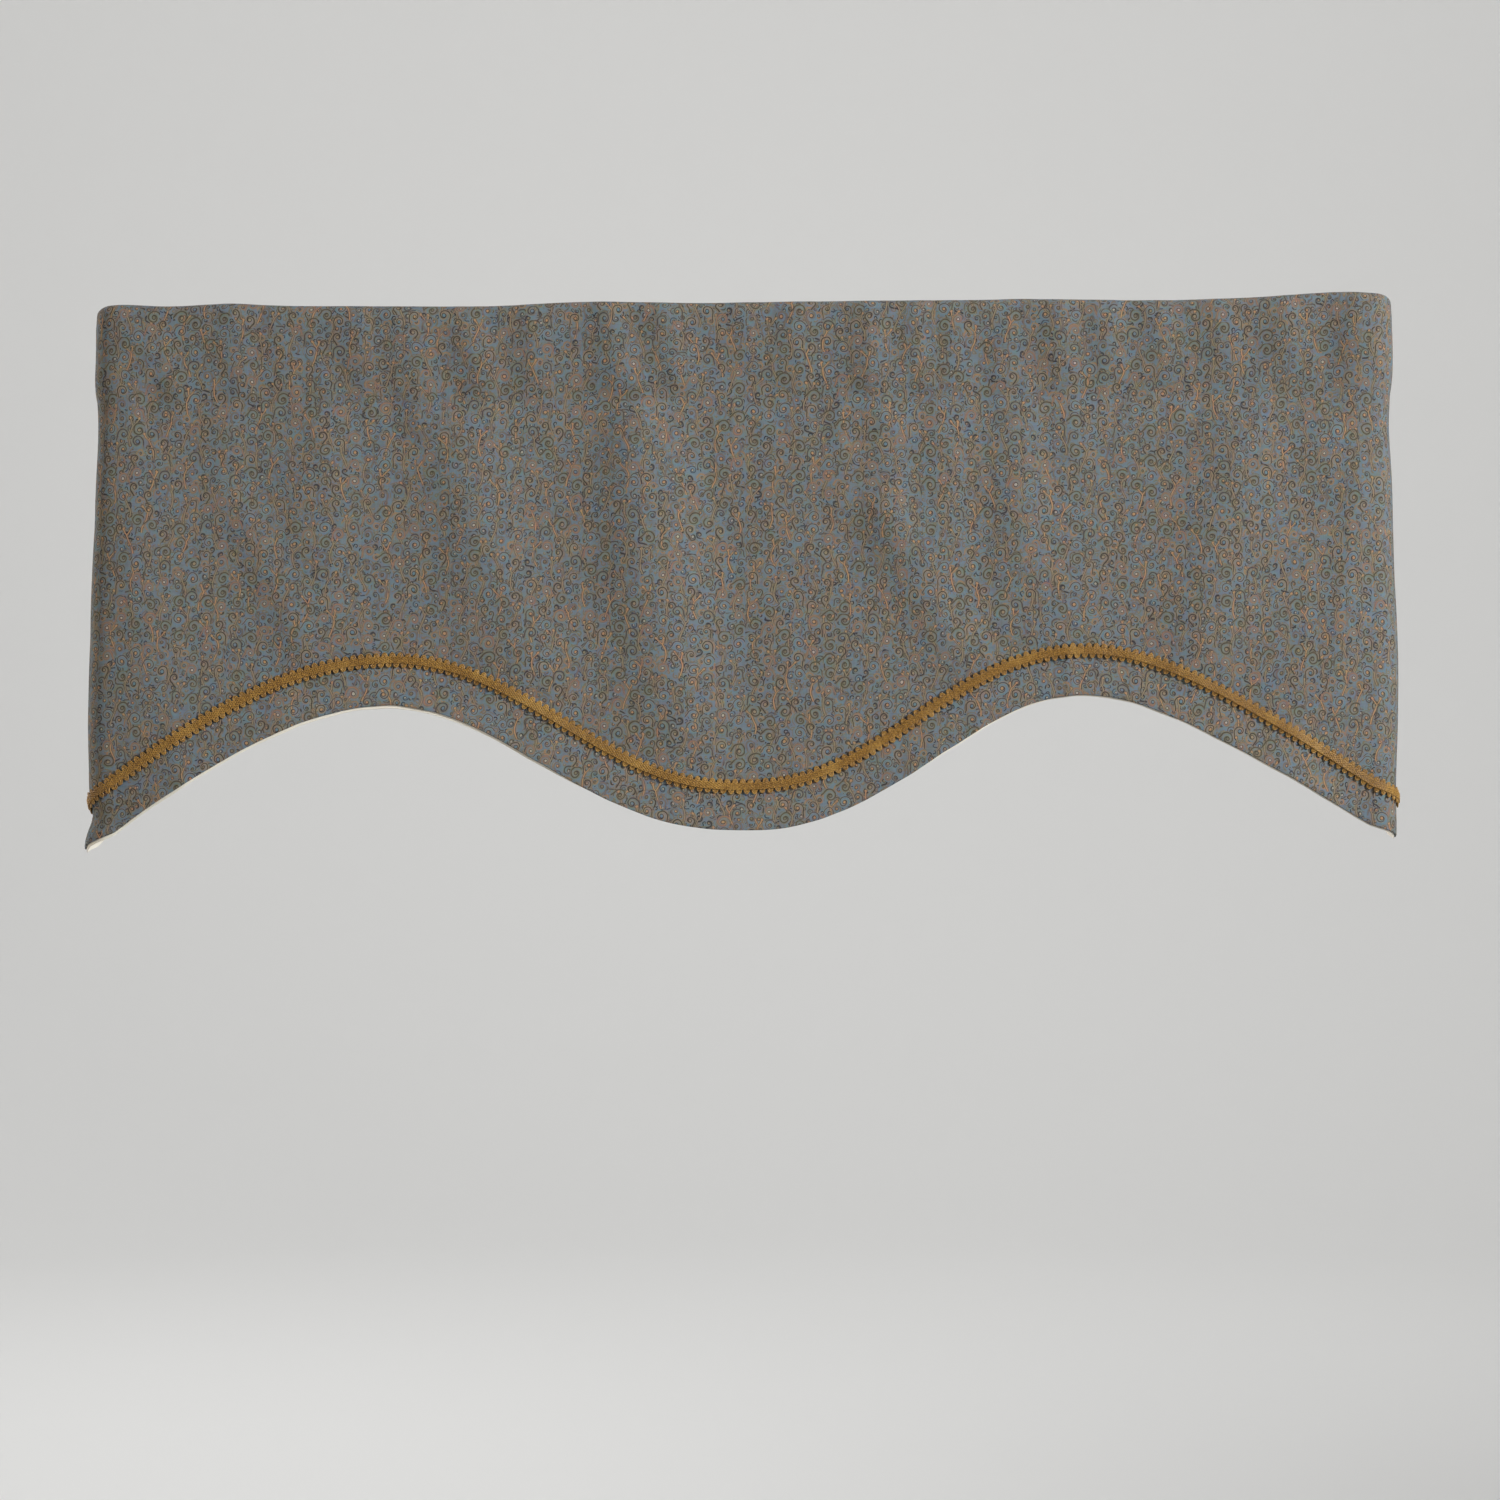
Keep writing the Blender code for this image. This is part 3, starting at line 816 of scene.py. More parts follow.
def curlGroup():
    # one scroll in each cell of a half-drop grid: a spiral that ends in a tail down its side
    tree, given, made = makeGroup(
        "scrollCurls",
        [("Place", vector3, None), *floatInputs(**motifSizes["large"])],
        floatOutputs(
            "Stroke", "Rim", "Eye", "Eye Rim", "Inside", "Arc", "Glow", "Eye Glow", "Chance"
        ),
    )
    u, v, _ = separate(tree, given["Place"])
    u = calc(tree, "DIVIDE", u, given["Cell"])
    v = calc(tree, "DIVIDE", v, given["Cell"])
    column = calc(tree, "FLOOR", u)
    v = calc(tree, "MULTIPLY_ADD", calc(tree, "FLOORED_MODULO", column, 2.0), 0.5, v)
    row = calc(tree, "FLOOR", v)
    chanceA, chanceB, chanceC, chanceD = cellChances(tree, column, row, given["Seed"])

    def inCell(place, chance):
        middle = minus(tree, calc(tree, "FRACT", place), 0.5)
        slip = times(tree, minus(tree, chance, 0.5), given["Wander"])
        return times(tree, minus(tree, middle, slip), given["Cell"])

    flip = calc(tree, "MULTIPLY_ADD", calc(tree, "GREATER_THAN", chanceC, 0.5), 2.0, -1.0)
    # the digits further down in a chance serve as one more
    size = calc(tree, "FRACT", times(tree, chanceD, 5.7))
    size = calc(tree, "MULTIPLY_ADD", size, scroll["sizeSpread"], scroll["leastSize"])
    x = times(tree, times(tree, inCell(u, chanceA), flip), size)
    y = times(tree, inCell(v, chanceB), times(tree, size, -1.0))
    turned = tree.nodes.new("ShaderNodeVectorRotate")
    turned.rotation_type = "Z_AXIS"
    feed(tree, combine(tree, x, y), turned.inputs["Vector"])
    lean = times(tree, minus(tree, chanceD, 0.5), given["Lean"])
    feed(tree, lean, turned.inputs["Angle"])
    x, y, _ = separate(tree, turned.outputs[0])
    radius = vectorCalc(tree, "LENGTH", turned.outputs[0])
    angle = calc(tree, "DIVIDE", calc(tree, "ARCTAN2", y, x), 2 * math.pi)
    turnsHere = minus(tree, chanceA, 0.5)
    turnsHere = calc(tree, "MULTIPLY_ADD", turnsHere, scroll["turnSpread"], given["Turns"])
    angle = plus(tree, angle, calc(tree, "FRACT", turnsHere))
    winding = minus(tree, calc(tree, "DIVIDE", radius, given["Turn Gap"]), angle)
    whole = calc(tree, "ROUND", winding)
    away = calc(tree, "ABSOLUTE", minus(tree, winding, whole))
    away = times(tree, away, given["Turn Gap"])
    turns = plus(tree, whole, angle)
    limit = plus(tree, turnsHere, 0.001)
    away = plus(tree, away, calc(tree, "GREATER_THAN", turns, limit))
    reach = times(tree, turnsHere, given["Turn Gap"])
    bend = times(tree, times(tree, y, y), scroll["tailBend"])
    fromTail = calc(tree, "ABSOLUTE", minus(tree, minus(tree, x, reach), bend))
    pastTail = calc(tree, "GREATER_THAN", y, given["Tail"])
    offTail = plus(tree, calc(tree, "LESS_THAN", y, 0.0), pastTail)
    away = calc(tree, "MINIMUM", away, plus(tree, fromTail, offTail))
    chanceE = calc(tree, "FRACT", times(tree, chanceC, 7.31))
    used = calc(tree, "LESS_THAN", chanceE, given["Share"])
    arcRadius = plus(tree, reach, given["Arc"])
    fromArc = calc(tree, "ABSOLUTE", minus(tree, radius, arcRadius))
    fromArc = plus(tree, fromArc, calc(tree, "GREATER_THAN", y, 0.0))
    rimEdge = plus(tree, given["Line"], given["Rim"])
    eyeEdge = plus(tree, given["Eye"], scroll["eyeRim"])
    innerEdge = times(tree, reach, scroll["insideShare"])
    masks = {
        "Stroke": within(tree, away, given["Line"], printing["lineBlur"]),
        "Rim": within(tree, away, rimEdge, printing["lineBlur"]),
        "Eye": within(tree, radius, given["Eye"], scroll["eyeBlur"]),
        "Eye Rim": within(tree, radius, eyeEdge, scroll["eyeBlur"]),
        "Inside": remap(tree, radius, innerEdge, reach, 1.0, 0.0),
        "Arc": remap(tree, fromArc, *scroll["arcEdge"], 1.0, 0.0),
        "Glow": remap(tree, away, 0.0, given["Reach"], 1.0, 0.0),
        "Eye Glow": remap(tree, radius, 0.0, given["Reach"], 1.0, 0.0),
    }
    for label, mask in masks.items():
        feed(tree, times(tree, mask, used), made[label])
    feed(tree, chanceD, made["Chance"])
    return tree


# The form of one twig: it forks on its way up, and each tip holds a bead
twig = {
    "wander": 0.5,
    "stagger": 0.382,
    "swayTurns": 5.2,
    "swayShift": 6.28,
    "fork": 0.56,
    "forkPower": 0.7,
    "forkWidth": 0.0105,
    "top": 0.66,
    "topSpread": 0.12,
    "footSpread": 0.08,
    "beadEdge": (0.0008, 0.0012),
    "beadRimEdge": (0.0013, 0.0017),
}


def twigGroup():
    tree, given, made = makeGroup(
        "copperTwigs",
        [("Place", vector3, None), *floatInputs(**motifSizes["stems"])],
        floatOutputs("Stroke", "Rim", "Bead", "Glow", "Chance"),
    )
    u, v, _ = separate(tree, given["Place"])
    u = calc(tree, "DIVIDE", u, given["Across"])
    column = calc(tree, "FLOOR", u)
    v = calc(tree, "DIVIDE", v, given["Length"])
    v = calc(tree, "MULTIPLY_ADD", column, twig["stagger"], v)
    row = calc(tree, "FLOOR", v)
    chanceA, chanceB, chanceC, chanceD = cellChances(tree, column, row, given["Seed"])
    slip = times(tree, minus(tree, chanceA, 0.5), twig["wander"])
    x = minus(tree, minus(tree, calc(tree, "FRACT", u), 0.5), slip)
    x = times(tree, x, given["Across"])
    up = calc(tree, "FRACT", v)
    phase = times(tree, chanceB, twig["swayShift"])
    phase = calc(tree, "MULTIPLY_ADD", up, twig["swayTurns"], phase)
    x = calc(tree, "MULTIPLY_ADD", calc(tree, "SINE", phase), given["Sway"], x)

    def prongSide(height):
        pastFork = calc(tree, "MAXIMUM", minus(tree, height, twig["fork"]), 0.0)
        opening = calc(tree, "POWER", pastFork, twig["forkPower"])
        return times(tree, opening, twig["forkWidth"])

    away = calc(tree, "ABSOLUTE", minus(tree, calc(tree, "ABSOLUTE", x), prongSide(up)))
    top = calc(tree, "MULTIPLY_ADD", chanceC, twig["topSpread"], twig["top"])
    foot = times(tree, chanceB, twig["footSpread"])
    beyond = plus(tree, calc(tree, "GREATER_THAN", up, top), calc(tree, "LESS_THAN", up, foot))
    away = plus(tree, away, beyond)
    beadX = minus(tree, calc(tree, "ABSOLUTE", x), prongSide(top))
    beadY = times(tree, minus(tree, up, top), given["Length"])
    fromBead = vectorCalc(tree, "LENGTH", combine(tree, beadX, beadY))
    used = calc(tree, "LESS_THAN", chanceD, given["Share"])
    rimEdge = plus(tree, given["Line"], given["Rim"])
    rim = within(tree, away, rimEdge, printing["lineBlur"])
    beadRim = remap(tree, fromBead, *twig["beadRimEdge"], 1.0, 0.0)
    nearest = calc(tree, "MINIMUM", away, fromBead)
    masks = {
        "Stroke": within(tree, away, given["Line"], printing["lineBlur"]),
        "Rim": calc(tree, "MAXIMUM", rim, beadRim),
        "Bead": remap(tree, fromBead, *twig["beadEdge"], 1.0, 0.0),
        "Glow": remap(tree, nearest, 0.0, given["Reach"], 1.0, 0.0),
    }
    for label, mask in masks.items():
        feed(tree, times(tree, mask, used), made[label])
    feed(tree, chanceC, made["Chance"])
    return tree


def scatterColours(tree, chance, names):
    ramp = tree.nodes.new("ShaderNodeValToRGB")
    ramp.color_ramp.interpolation = "CONSTANT"
    stops = ramp.color_ramp.elements
    stops[0].color = printing[names[0]]
    stops[1].position = 1.0 / len(names)
    stops[1].color = printing[names[1]]
    for number, name in enumerate(names[2:], 2):
        stops.new(number / len(names)).color = printing[name]
    feed(tree, chance, ramp.inputs[0])
    return ramp.outputs[0]


def printGroup(curls, twigs):
    tree, given, made = makeGroup(
        "scrollPrint", [("Place", vector3, None)], [("Color", colour4)]
    )
    middle = (0.5, 0.5, 0.5)
    shift = noise(tree, given["Place"], printing["warpScale"])[1]
    shift = vectorCalc(tree, "SUBTRACT", shift, middle)
    shift = vectorCalc(tree, "SCALE", shift, scale=2 * printing["warp"])
    place = vectorCalc(tree, "ADD", given["Place"], shift)
    motifs = {
        name: placeGroup(tree, twigs if name == "stems" else curls, Place=place, **sizes)
        for name, sizes in motifSizes.items()
    }

    patches = noise(tree, given["Place"], printing["patchScale"], 3.0, 0.6)[0]
    patches = remap(tree, patches, *printing["patchRange"], 0.0, printing["patchShare"])
    colour = mixColours(tree, patches, printing["slate"], printing["mauve"])
    for dye in dyes:
        motif = motifs[dye.motif]
        mask = motif[dye.mask]
        if dye.under:
            hidden = motifs[dye.under[0]]["Inside"]
            for other in dye.under[1:]:
                hidden = calc(tree, "MAXIMUM", hidden, motifs[other]["Inside"])
            mask = times(tree, mask, minus(tree, 1.0, hidden))
        if dye.paint in palettes:
            paint = scatterColours(tree, motif["Chance"], palettes[dye.paint])
        else:
            paint = printing[dye.paint]
        colour = mixColours(tree, times(tree, mask, dye.strength), colour, paint)

    stain = noise(tree, given["Place"], printing["stainScale"], 3.0, 0.65)[1]
    stain = vectorCalc(tree, "SUBTRACT", stain, middle)
    stain = vectorCalc(tree, "SCALE", stain, scale=printing["stain"])
    stain = vectorCalc(tree, "ADD", stain, (1.0, 1.0, 1.0))
    feed(tree, mixColours(tree, 1.0, colour, stain, "MULTIPLY"), made["Color"])
    return tree


Surface = namedtuple("Surface", "roughness sheen sheenRoughness specular")


def newMaterial(name, surface):
    material = bpy.data.materials.new(name)
    material.use_nodes = True
    tree = material.node_tree
    shader = tree.nodes["Principled BSDF"]
    labels = ("Roughness", "Sheen Weight", "Sheen Roughness", "Specular IOR Level")
    for label, value in zip(labels, surface):
        shader.inputs[label].default_value = value
    return material, tree, shader


def flatPlace(tree):
    # the place on the cloth as it was cut, in metres
    node = tree.nodes.new("ShaderNodeUVMap")
    node.uv_map = "flatCloth"
    return node.outputs["UV"]


def addBump(tree, shader, height, distance, strength):
    bump = tree.nodes.new("ShaderNodeBump")
    bump.inputs["Distance"].default_value = distance
    bump.inputs["Strength"].default_value = strength
    feed(tree, height, bump.inputs["Height"])
    feed(tree, bump.outputs[0], shader.inputs["Normal"])


def woven(tree, shader, weave, place, colour, cloth):
    # threads that shade the colour and stand up from it
    threads = placeGroup(
        tree, weave, Place=place, Thread_Gap=cloth["threadGap"], Slub=cloth["slub"]
    )
    shade = combine(tree, threads["Shade"], threads["Shade"], threads["Shade"])
    feed(tree, mixColours(tree, 1.0, colour, shade, "MULTIPLY"), shader.inputs["Base Color"])
    addBump(tree, shader, threads["Height"], cloth["threadDepth"], cloth["relief"])


cotton = {
    "surface": Surface(0.92, 0.06, 0.55, 0.18),
    "threadGap": 0.00046,
    "slub": 0.35,
    "threadDepth": 0.00010,
    "relief": 0.35,
}


def cottonMaterial(name, scrolls, weave, faded):
    material, tree, shader = newMaterial(name, cotton["surface"])
    place = flatPlace(tree)
    colour = placeGroup(tree, scrolls, Place=place)["Color"]
    if faded:
        colour = mixColours(tree, printing["fadedShare"], colour, printing["faded"])
    woven(tree, shader, weave, place, colour, cotton)
    return material


lining = {
    "surface": Surface(0.62, 0.12, 0.4, 0.35),
    "colour": (0.800, 0.755, 0.660, 1.0),
    "shadow": (0.760, 0.715, 0.618, 1.0),
    "patchScale": 9.0,
    "patchRange": (0.35, 0.70),
    "threadGap": 0.00034,
    "slub": 0.18,
    "threadDepth": 0.00006,
    "relief": 0.30,
}


def sateenMaterial(weave):
    material, tree, shader = newMaterial("creamSateen", lining["surface"])
    place = flatPlace(tree)
    patches = noise(tree, place, lining["patchScale"], 4.0)[0]
    patches = remap(tree, patches, *lining["patchRange"], 0.0, 1.0)
    colour = mixColours(tree, patches, lining["colour"], lining["shadow"])
    woven(tree, shader, weave, place, colour, lining)
    return material


gimp = {
    "aboveHem": 0.0357,
    "dipStart": 0.3275,
    "dipReach": 0.20,
    "rightDip": 0.0014,
    "rightDipStart": -0.12,
    "rightDipReach": 0.10,
    "width": 0.0124,
    "pitch": 0.0061,
    "cord": 0.00112,
    "binding": 0.00104,
    "bindingGap": 0.00090,
    "bulge": 0.075,
    "cordApart": 0.52,
    "cordBob": 0.0001,
    "cordSteps": 16.0,
    "unevenness": 0.30,
    "unevenScale": 150.0,
    "bindingSwing": 0.30,
    "bindingLift": 0.78,
    "bindingBob": 0.00022,
    "bindingSteps": 5.0,
    "sides": 5,
    "lift": 0.0015,
    "endInset": 0.0030,
    "surface": Surface(0.46, 0.10, 0.4, 0.45),
    "colour": (0.370, 0.192, 0.032, 1.0),
    # painted highlight: a lighter gold laid on in random patches, as glints on the shiny rayon
    "paintedHighlight": (0.560, 0.340, 0.080, 1.0),
    # painted shade: a dark brown laid into the dips of the streaks
    "paintedStreakShade": (0.150, 0.068, 0.012, 1.0),
    # the streaks raise the yarn by the bump and carry the painted shade in their dips
    "streakScale": 900.0,
    "streakRange": (0.38, 0.66),
    "streakDepth": 0.00012,
    "relief": 0.5,
    # size and share of the painted highlight patches
    "patchScale": 45.0,
    "patchRange": (0.42, 0.70),
    "patchShare": (0.10, 0.42),
}


def rayonMaterial():
    material, tree, shader = newMaterial("goldRayon", gimp["surface"])
    coordinates = tree.nodes.new("ShaderNodeTexCoord").outputs["Object"]
    streaks = noise(tree, coordinates, gimp["streakScale"])[0]
    patches = noise(tree, coordinates, gimp["patchScale"])[0]
    # painted shade: where the streak relief dips, the gold darkens to a dark brown, and on its
    # ridges it stays lit
    lit = remap(tree, streaks, *gimp["streakRange"], 0.0, 1.0)
    colour = mixColours(tree, lit, gimp["paintedStreakShade"], gimp["colour"])
    # painted highlight: random patches turn a lighter gold, as glints on the rayon
    highlightShare = remap(tree, patches, *gimp["patchRange"], *gimp["patchShare"])
    colour = mixColours(tree, highlightShare, colour, gimp["paintedHighlight"])
    feed(tree, colour, shader.inputs["Base Color"])
    addBump(tree, shader, streaks, gimp["streakDepth"], gimp["relief"])
    return material


# The machine stitches of the pocket's seam
stitching = {
    "pitch": 0.0031,
    "length": 0.0025,
    "thickness": 0.00036,
    "unevenness": 0.12,
    "seed": 4,
    "segments": 6,
    "rings": 5,
    "endInset": 0.004,
    "lift": 0.00005,
    "surface": Surface(0.7, 0.0, 0.5, 0.2),
    "colour": (0.150, 0.165, 0.175, 1.0),
    "shadow": (0.1275, 0.14025, 0.14875, 1.0),
    "streakScale": 600.0,
}


def threadMaterial():
    material, tree, shader = newMaterial("greyThread", stitching["surface"])
    coordinates = tree.nodes.new("ShaderNodeTexCoord").outputs["Object"]
    streaks = noise(tree, coordinates, stitching["streakScale"])[0]
    colour = mixColours(tree, streaks, stitching["shadow"], stitching["colour"])
    feed(tree, colour, shader.inputs["Base Color"])
    return material


weave = weaveGroup()
scrolls = printGroup(curlGroup(), twigGroup())
cottonRight = cottonMaterial("printedCotton", scrolls, weave, False)
cottonWrong = cottonMaterial("printedCottonWrongSide", scrolls, weave, True)
sateen = sateenMaterial(weave)
rayon = rayonMaterial()
clothThread = threadMaterial()
print("materials made")

easingFolds = makeEasing(hemPuckers, braidDrop, hemDrop) + makeEasing(topNicks, topLine, topLine)

# The face cloth: one sheet from its lower hem up the face, over the rod and down the
# back of the pocket, with both wall ends turned in
faceCloth = {
    "sideInset": 0.0,
    "sideTurn": 0.016,
    "lowerTurn": 0.009,
    "cornerHemStart": 0.028,
    "cornerHemReach": 0.010,
    "flap": 0.007,
    "backBelowSeam": 0.003,
    "frontColumns": 296,
    "cornerColumns": 9,
    "returnColumns": 12,
    "turnSteps": 6,
    "turnColumns": 5,
    "turnRows": 5,
    "panelRows": 74,
    "pocketRows": 15,
    "topRows": 10,
    "flapRows": 4,
    "edgeSteps": 4,
}


def clothColumns(cloth, radius):
    # along and distance behind the face of each column, side hems included
    end = returnEnd(0.0) - cloth["sideInset"]
    corner = np.linspace(cornerStart(0.0), cornerEnd(0.0), cloth["cornerColumns"])
    back = np.linspace(cornerEnd(0.0), end - radius, cloth["returnColumns"])[1:]
    angle = np.linspace(0.0, math.pi, cloth["turnSteps"] + 1)[1:]
    around = end - radius + radius * np.sin(angle)
    hem = np.linspace(end - radius, end - cloth["sideTurn"], cloth["turnColumns"])[1:]
    side = np.concatenate([corner, back, around, hem])
    level = np.zeros(len(corner) + len(back))
    behind = np.concatenate([level, radius * (1 - np.cos(angle)), np.full(len(hem), 2 * radius)])
    front = np.linspace(-cornerStart(0.0), cornerStart(0.0), cloth["frontColumns"])[1:-1]
    along = np.concatenate([-side[::-1], front, side])
    behind = np.concatenate([behind[::-1], np.zeros(len(front)), behind])
    return along[:, None], behind[:, None]


def rolledEdge(cloth, along, low, radius, behind):
    # the lower edge rolled round and turned up, from a distance behind the face. With a
    # negative radius it rolls towards the face
    angle = np.linspace(0.0, math.pi, cloth["turnSteps"] + 1)[1:]
    turned = cloth["lowerTurn"] * np.linspace(0.0, 1.0, cloth["turnRows"])[1:]
    size = np.abs(radius)
    drops = np.concatenate([low - size + size * np.sin(angle), low - size - turned], axis=1)
    away = np.concatenate([1 - np.cos(angle), np.full(len(turned), 2.0)])
    return hangingPoint(along, drops, behindFace(along, drops, behind + radius * away))


def flatPlaces(points, topRow, acrossRows):
    # where each point of a sheet lay before it was sewn and hung: down is measured along
    # each column, across is measured along the rows of its main part
    down = np.cumsum(np.linalg.norm(np.diff(points, axis=1), axis=2), axis=1)
    down = np.concatenate([np.zeros((len(points), 1)), down], axis=1)
    down = down - down[:, topRow : topRow + 1]
    steps = np.linalg.norm(np.diff(points[:, acrossRows], axis=0), axis=2).mean(axis=1)
    across = np.concatenate([[0.0], np.cumsum(steps)])
    across = (across - across[len(across) // 2])[:, None]
    return np.stack([np.broadcast_to(across, down.shape), -down], axis=-1)


def flatSizes(flat):
    # width, length and area of a sheet as it was cut
    area = 0.5 * np.abs(np.sum(
        np.cross(flat[1:, 1:] - flat[:-1, :-1], flat[1:, :-1] - flat[:-1, 1:])
    ))
    return float(np.ptp(flat[..., 0])), float(np.ptp(flat[..., 1])), float(area)


def clothPoints():
    along, sideBehind = clothColumns(faceCloth, layers["sideHem"] / 2)
    seam = hang["seamDrop"]
    top = hang["topRound"]
    ones = np.ones_like(along)

    # flap turned under at the pocket's rear edge, then that edge itself
    backEdge = seam + faceCloth["backBelowSeam"]
    radius = (layers["pocketBack"] - layers["pocketFlap"]) / 2
    flapDrop = np.linspace(backEdge - faceCloth["flap"], backEdge - radius, faceCloth["flapRows"])
    angle = np.linspace(0.0, math.pi, faceCloth["edgeSteps"] + 1)[1:-1]
    edgeDrop = backEdge - radius + radius * np.sin(angle)
    drops = ones * np.concatenate([flapDrop, edgeDrop])
    turned = radius * np.concatenate([np.zeros(len(flapDrop)), 1 - np.cos(angle)])
    behind = behindFace(along, drops, layers["pocketFlap"] + turned)
    flap = hangingPoint(along, drops, behind + sideBehind)

    # rear wall, up to the rod
    drops = ones * np.linspace(backEdge - radius, top, faceCloth["pocketRows"])
    wall = hangingPoint(along, drops, backForward(along, drops) + sideBehind)

    # over the rod
    front = faceForward(along, ones * top) - sideBehind
    back = backForward(along, ones * top) + sideBehind
    angle = ones * np.linspace(-math.pi / 2, math.pi / 2, faceCloth["topRows"] + 1)[1:-1]
    forward = (front + back) / 2 + (front - back) / 2 * np.sin(angle)
    over = hangingPoint(along, top * (1.0 - np.cos(angle)) + sideBehind, forward)

    # face, from the rod down to the hem
    drops = ones * np.linspace(top, seam, faceCloth["pocketRows"])[:-1]
    pocket = hangingPoint(along, drops, behindFace(along, drops, sideBehind))
    hem = hemDrop(along) + hemWobble(along)
    cornerHem = np.abs(along) - returnEnd(0.0) + faceCloth["cornerHemStart"]
    radius = layers["lowerHem"] / 2 * (1.0 + ease(cornerHem / faceCloth["cornerHemReach"]))
    share = np.linspace(0.0, 1.0, faceCloth["panelRows"])
    drops = seam + (hem - radius - seam) * share
    panel = hangingPoint(along, drops, behindFace(along, drops, sideBehind))
    turnUp = rolledEdge(faceCloth, along, hem, radius, sideBehind)

    points = np.concatenate([flap, wall, over, pocket, panel, turnUp], axis=1)
    topRow = flap.shape[1] + wall.shape[1] + over.shape[1] // 2
    panelStart = topRow + over.shape[1] // 2 + pocket.shape[1]
    panelRows = slice(panelStart, panelStart + panel.shape[1])
    return points, flatPlaces(points, topRow, panelRows)


points, faceFlat = clothPoints()
face = gridSheet("face_cloth", points, faceFlat, cottonRight, layers["cloth"])
face.data.materials.append(cottonWrong)
face.modifiers["thickness"].material_offset = 1
face.modifiers["thickness"].material_offset_rim = 0
applied(face)
print("face cloth made", triangles(face), "triangles, flat", flatSizes(faceFlat))

# The lining: cream, tucked under the pocket's rear edge, its lower edge just below the hem
liningCloth = {
    "sideInset": 0.012,
    "sideTurn": 0.008,
    "lowerTurn": 0.008,
    "tuck": 0.003,
    "tuckReach": 0.010,
    "showsLeft": 0.0024,
    "showsRight": 0.0012,
    "showsChangeStart": 0.16,
    "showsChange": 0.24,
    "hiddenMiddle": 0.0012,
    "hiddenHalfWidth": 0.070,
    "hiddenFade": 0.110,
    "edgeLine": 0.2,
    "edgeWave": Uneven(0.018, 0.0003, 21),
    "rumple": Uneven(0.034, 0.0006, 14),
    "rumpleTopFade": 0.05,
    "rumpleLowFade": 0.03,
    "rumpleLeast": -0.0002,
    "frontColumns": 170,
    "cornerColumns": 7,
    "returnColumns": 8,
    "turnSteps": 4,
    "turnColumns": 5,
    "turnRows": 4,
    "panelRows": 60,
}


def liningPoints():
    values = liningCloth
    radius = (layers["lining"] - layers["liningTurn"]) / 2
    along, turned = clothColumns(values, radius)
    topDrop = hang["seamDrop"] + faceCloth["backBelowSeam"] - values["tuck"]
    leftness = ease((values["showsChangeStart"] - along) / values["showsChange"])
    shows = values["showsRight"] + (values["showsLeft"] - values["showsRight"]) * leftness
    shows = shows + softNoise(along, values["edgeLine"], values["edgeWave"])
    beside = ease((np.abs(along) - values["hiddenHalfWidth"]) / values["hiddenFade"])
    shows = shows * beside - values["hiddenMiddle"] * (1.0 - beside)
    low = hemDrop(along) + hemWobble(along) + shows
    share = np.linspace(0.0, 1.0, values["panelRows"])
    drops = topDrop + (low - radius - topDrop) * share
    untucked = ease((drops - topDrop - values["tuck"]) / values["tuckReach"])
    behind = layers["tuckedLining"] + (layers["lining"] - layers["tuckedLining"]) * untucked
    behind = np.maximum(behind - turned, layers["tuckedLining"])
    rumple = softNoise(along, drops, values["rumple"])
    rumple = rumple * ease((drops - topDrop) / values["rumpleTopFade"])
    rumple = rumple * ease((low - drops) / values["rumpleLowFade"])
    behind = behind + np.maximum(rumple, values["rumpleLeast"])
    panel = hangingPoint(along, drops, behindFace(along, drops, behind))
    turnUp = rolledEdge(values, along, low, -radius, layers["lining"] - turned)
    points = np.concatenate([panel, turnUp], axis=1)
    return points, flatPlaces(points, 0, slice(0, panel.shape[1]))


points, liningFlat = liningPoints()
liningPiece = applied(gridSheet("lining_cloth", points, liningFlat, sateen, layers["liningCloth"]))
print("lining made", triangles(liningPiece), "triangles, flat", flatSizes(liningFlat))


# Paths on the cloth, for braid and stitches


def clothPath(name, along, drop, lift):
    # a line of points just off the cloth's outer side, with the outward direction at each
    step = 0.0015
    height = layers["cloth"] / 2 + lift
    here = hangingPoint(along, drop, faceForward(along, drop))
    right = hangingPoint(along + step, drop, faceForward(along + step, drop))
    left = hangingPoint(along - step, drop, faceForward(along - step, drop))
    lower = hangingPoint(along, drop + step, faceForward(along, drop + step))
    upper = hangingPoint(along, drop - step, faceForward(along, drop - step))
    outward = np.cross(lower - upper, right - left)
    outward = outward / np.linalg.norm(outward, axis=1)[:, None]
    return pathObject(name, here + outward * height, outward)


def pathObject(name, points, outward):
    mesh = bpy.data.meshes.new(name)
    edges = [(number, number + 1) for number in range(len(points) - 1)]
    mesh.from_pydata(points.tolist(), edges, [])
    direction = mesh.attributes.new("outward", "FLOAT_VECTOR", "POINT")
    direction.data.foreach_set("vector", outward.astype(np.float32).ravel())
    path = bpy.data.objects.new(name, mesh)
    bpy.context.scene.collection.objects.link(path)
    return path


def acrossCloth(inset, count=1201):
    # places along the cloth from one wall end to the other
    end = returnEnd(0.0) - inset
    return np.linspace(-end, end, count)


def named(tree, name):
    node = tree.nodes.new("GeometryNodeInputNamedAttribute")
    node.data_type = "FLOAT_VECTOR"
    node.inputs["Name"].default_value = name
    return node.outputs["Attribute"]


def resampled(tree, path, length):
    # the path as a curve with its points at even distances
    asCurve = tree.nodes.new("GeometryNodeMeshToCurve")
    feed(tree, path, asCurve.inputs["Mesh"])
    resample = tree.nodes.new("GeometryNodeResampleCurve")
    resample.mode = "LENGTH"
    feed(tree, asCurve.outputs[0], resample.inputs["Curve"])
    feed(tree, length, resample.inputs["Length"])
    return resample.outputs[0]


def moved(tree, geometry, offset):
    node = tree.nodes.new("GeometryNodeSetPosition")
    feed(tree, geometry, node.inputs["Geometry"])
    feed(tree, offset, node.inputs["Offset"])
    return node.outputs[0]


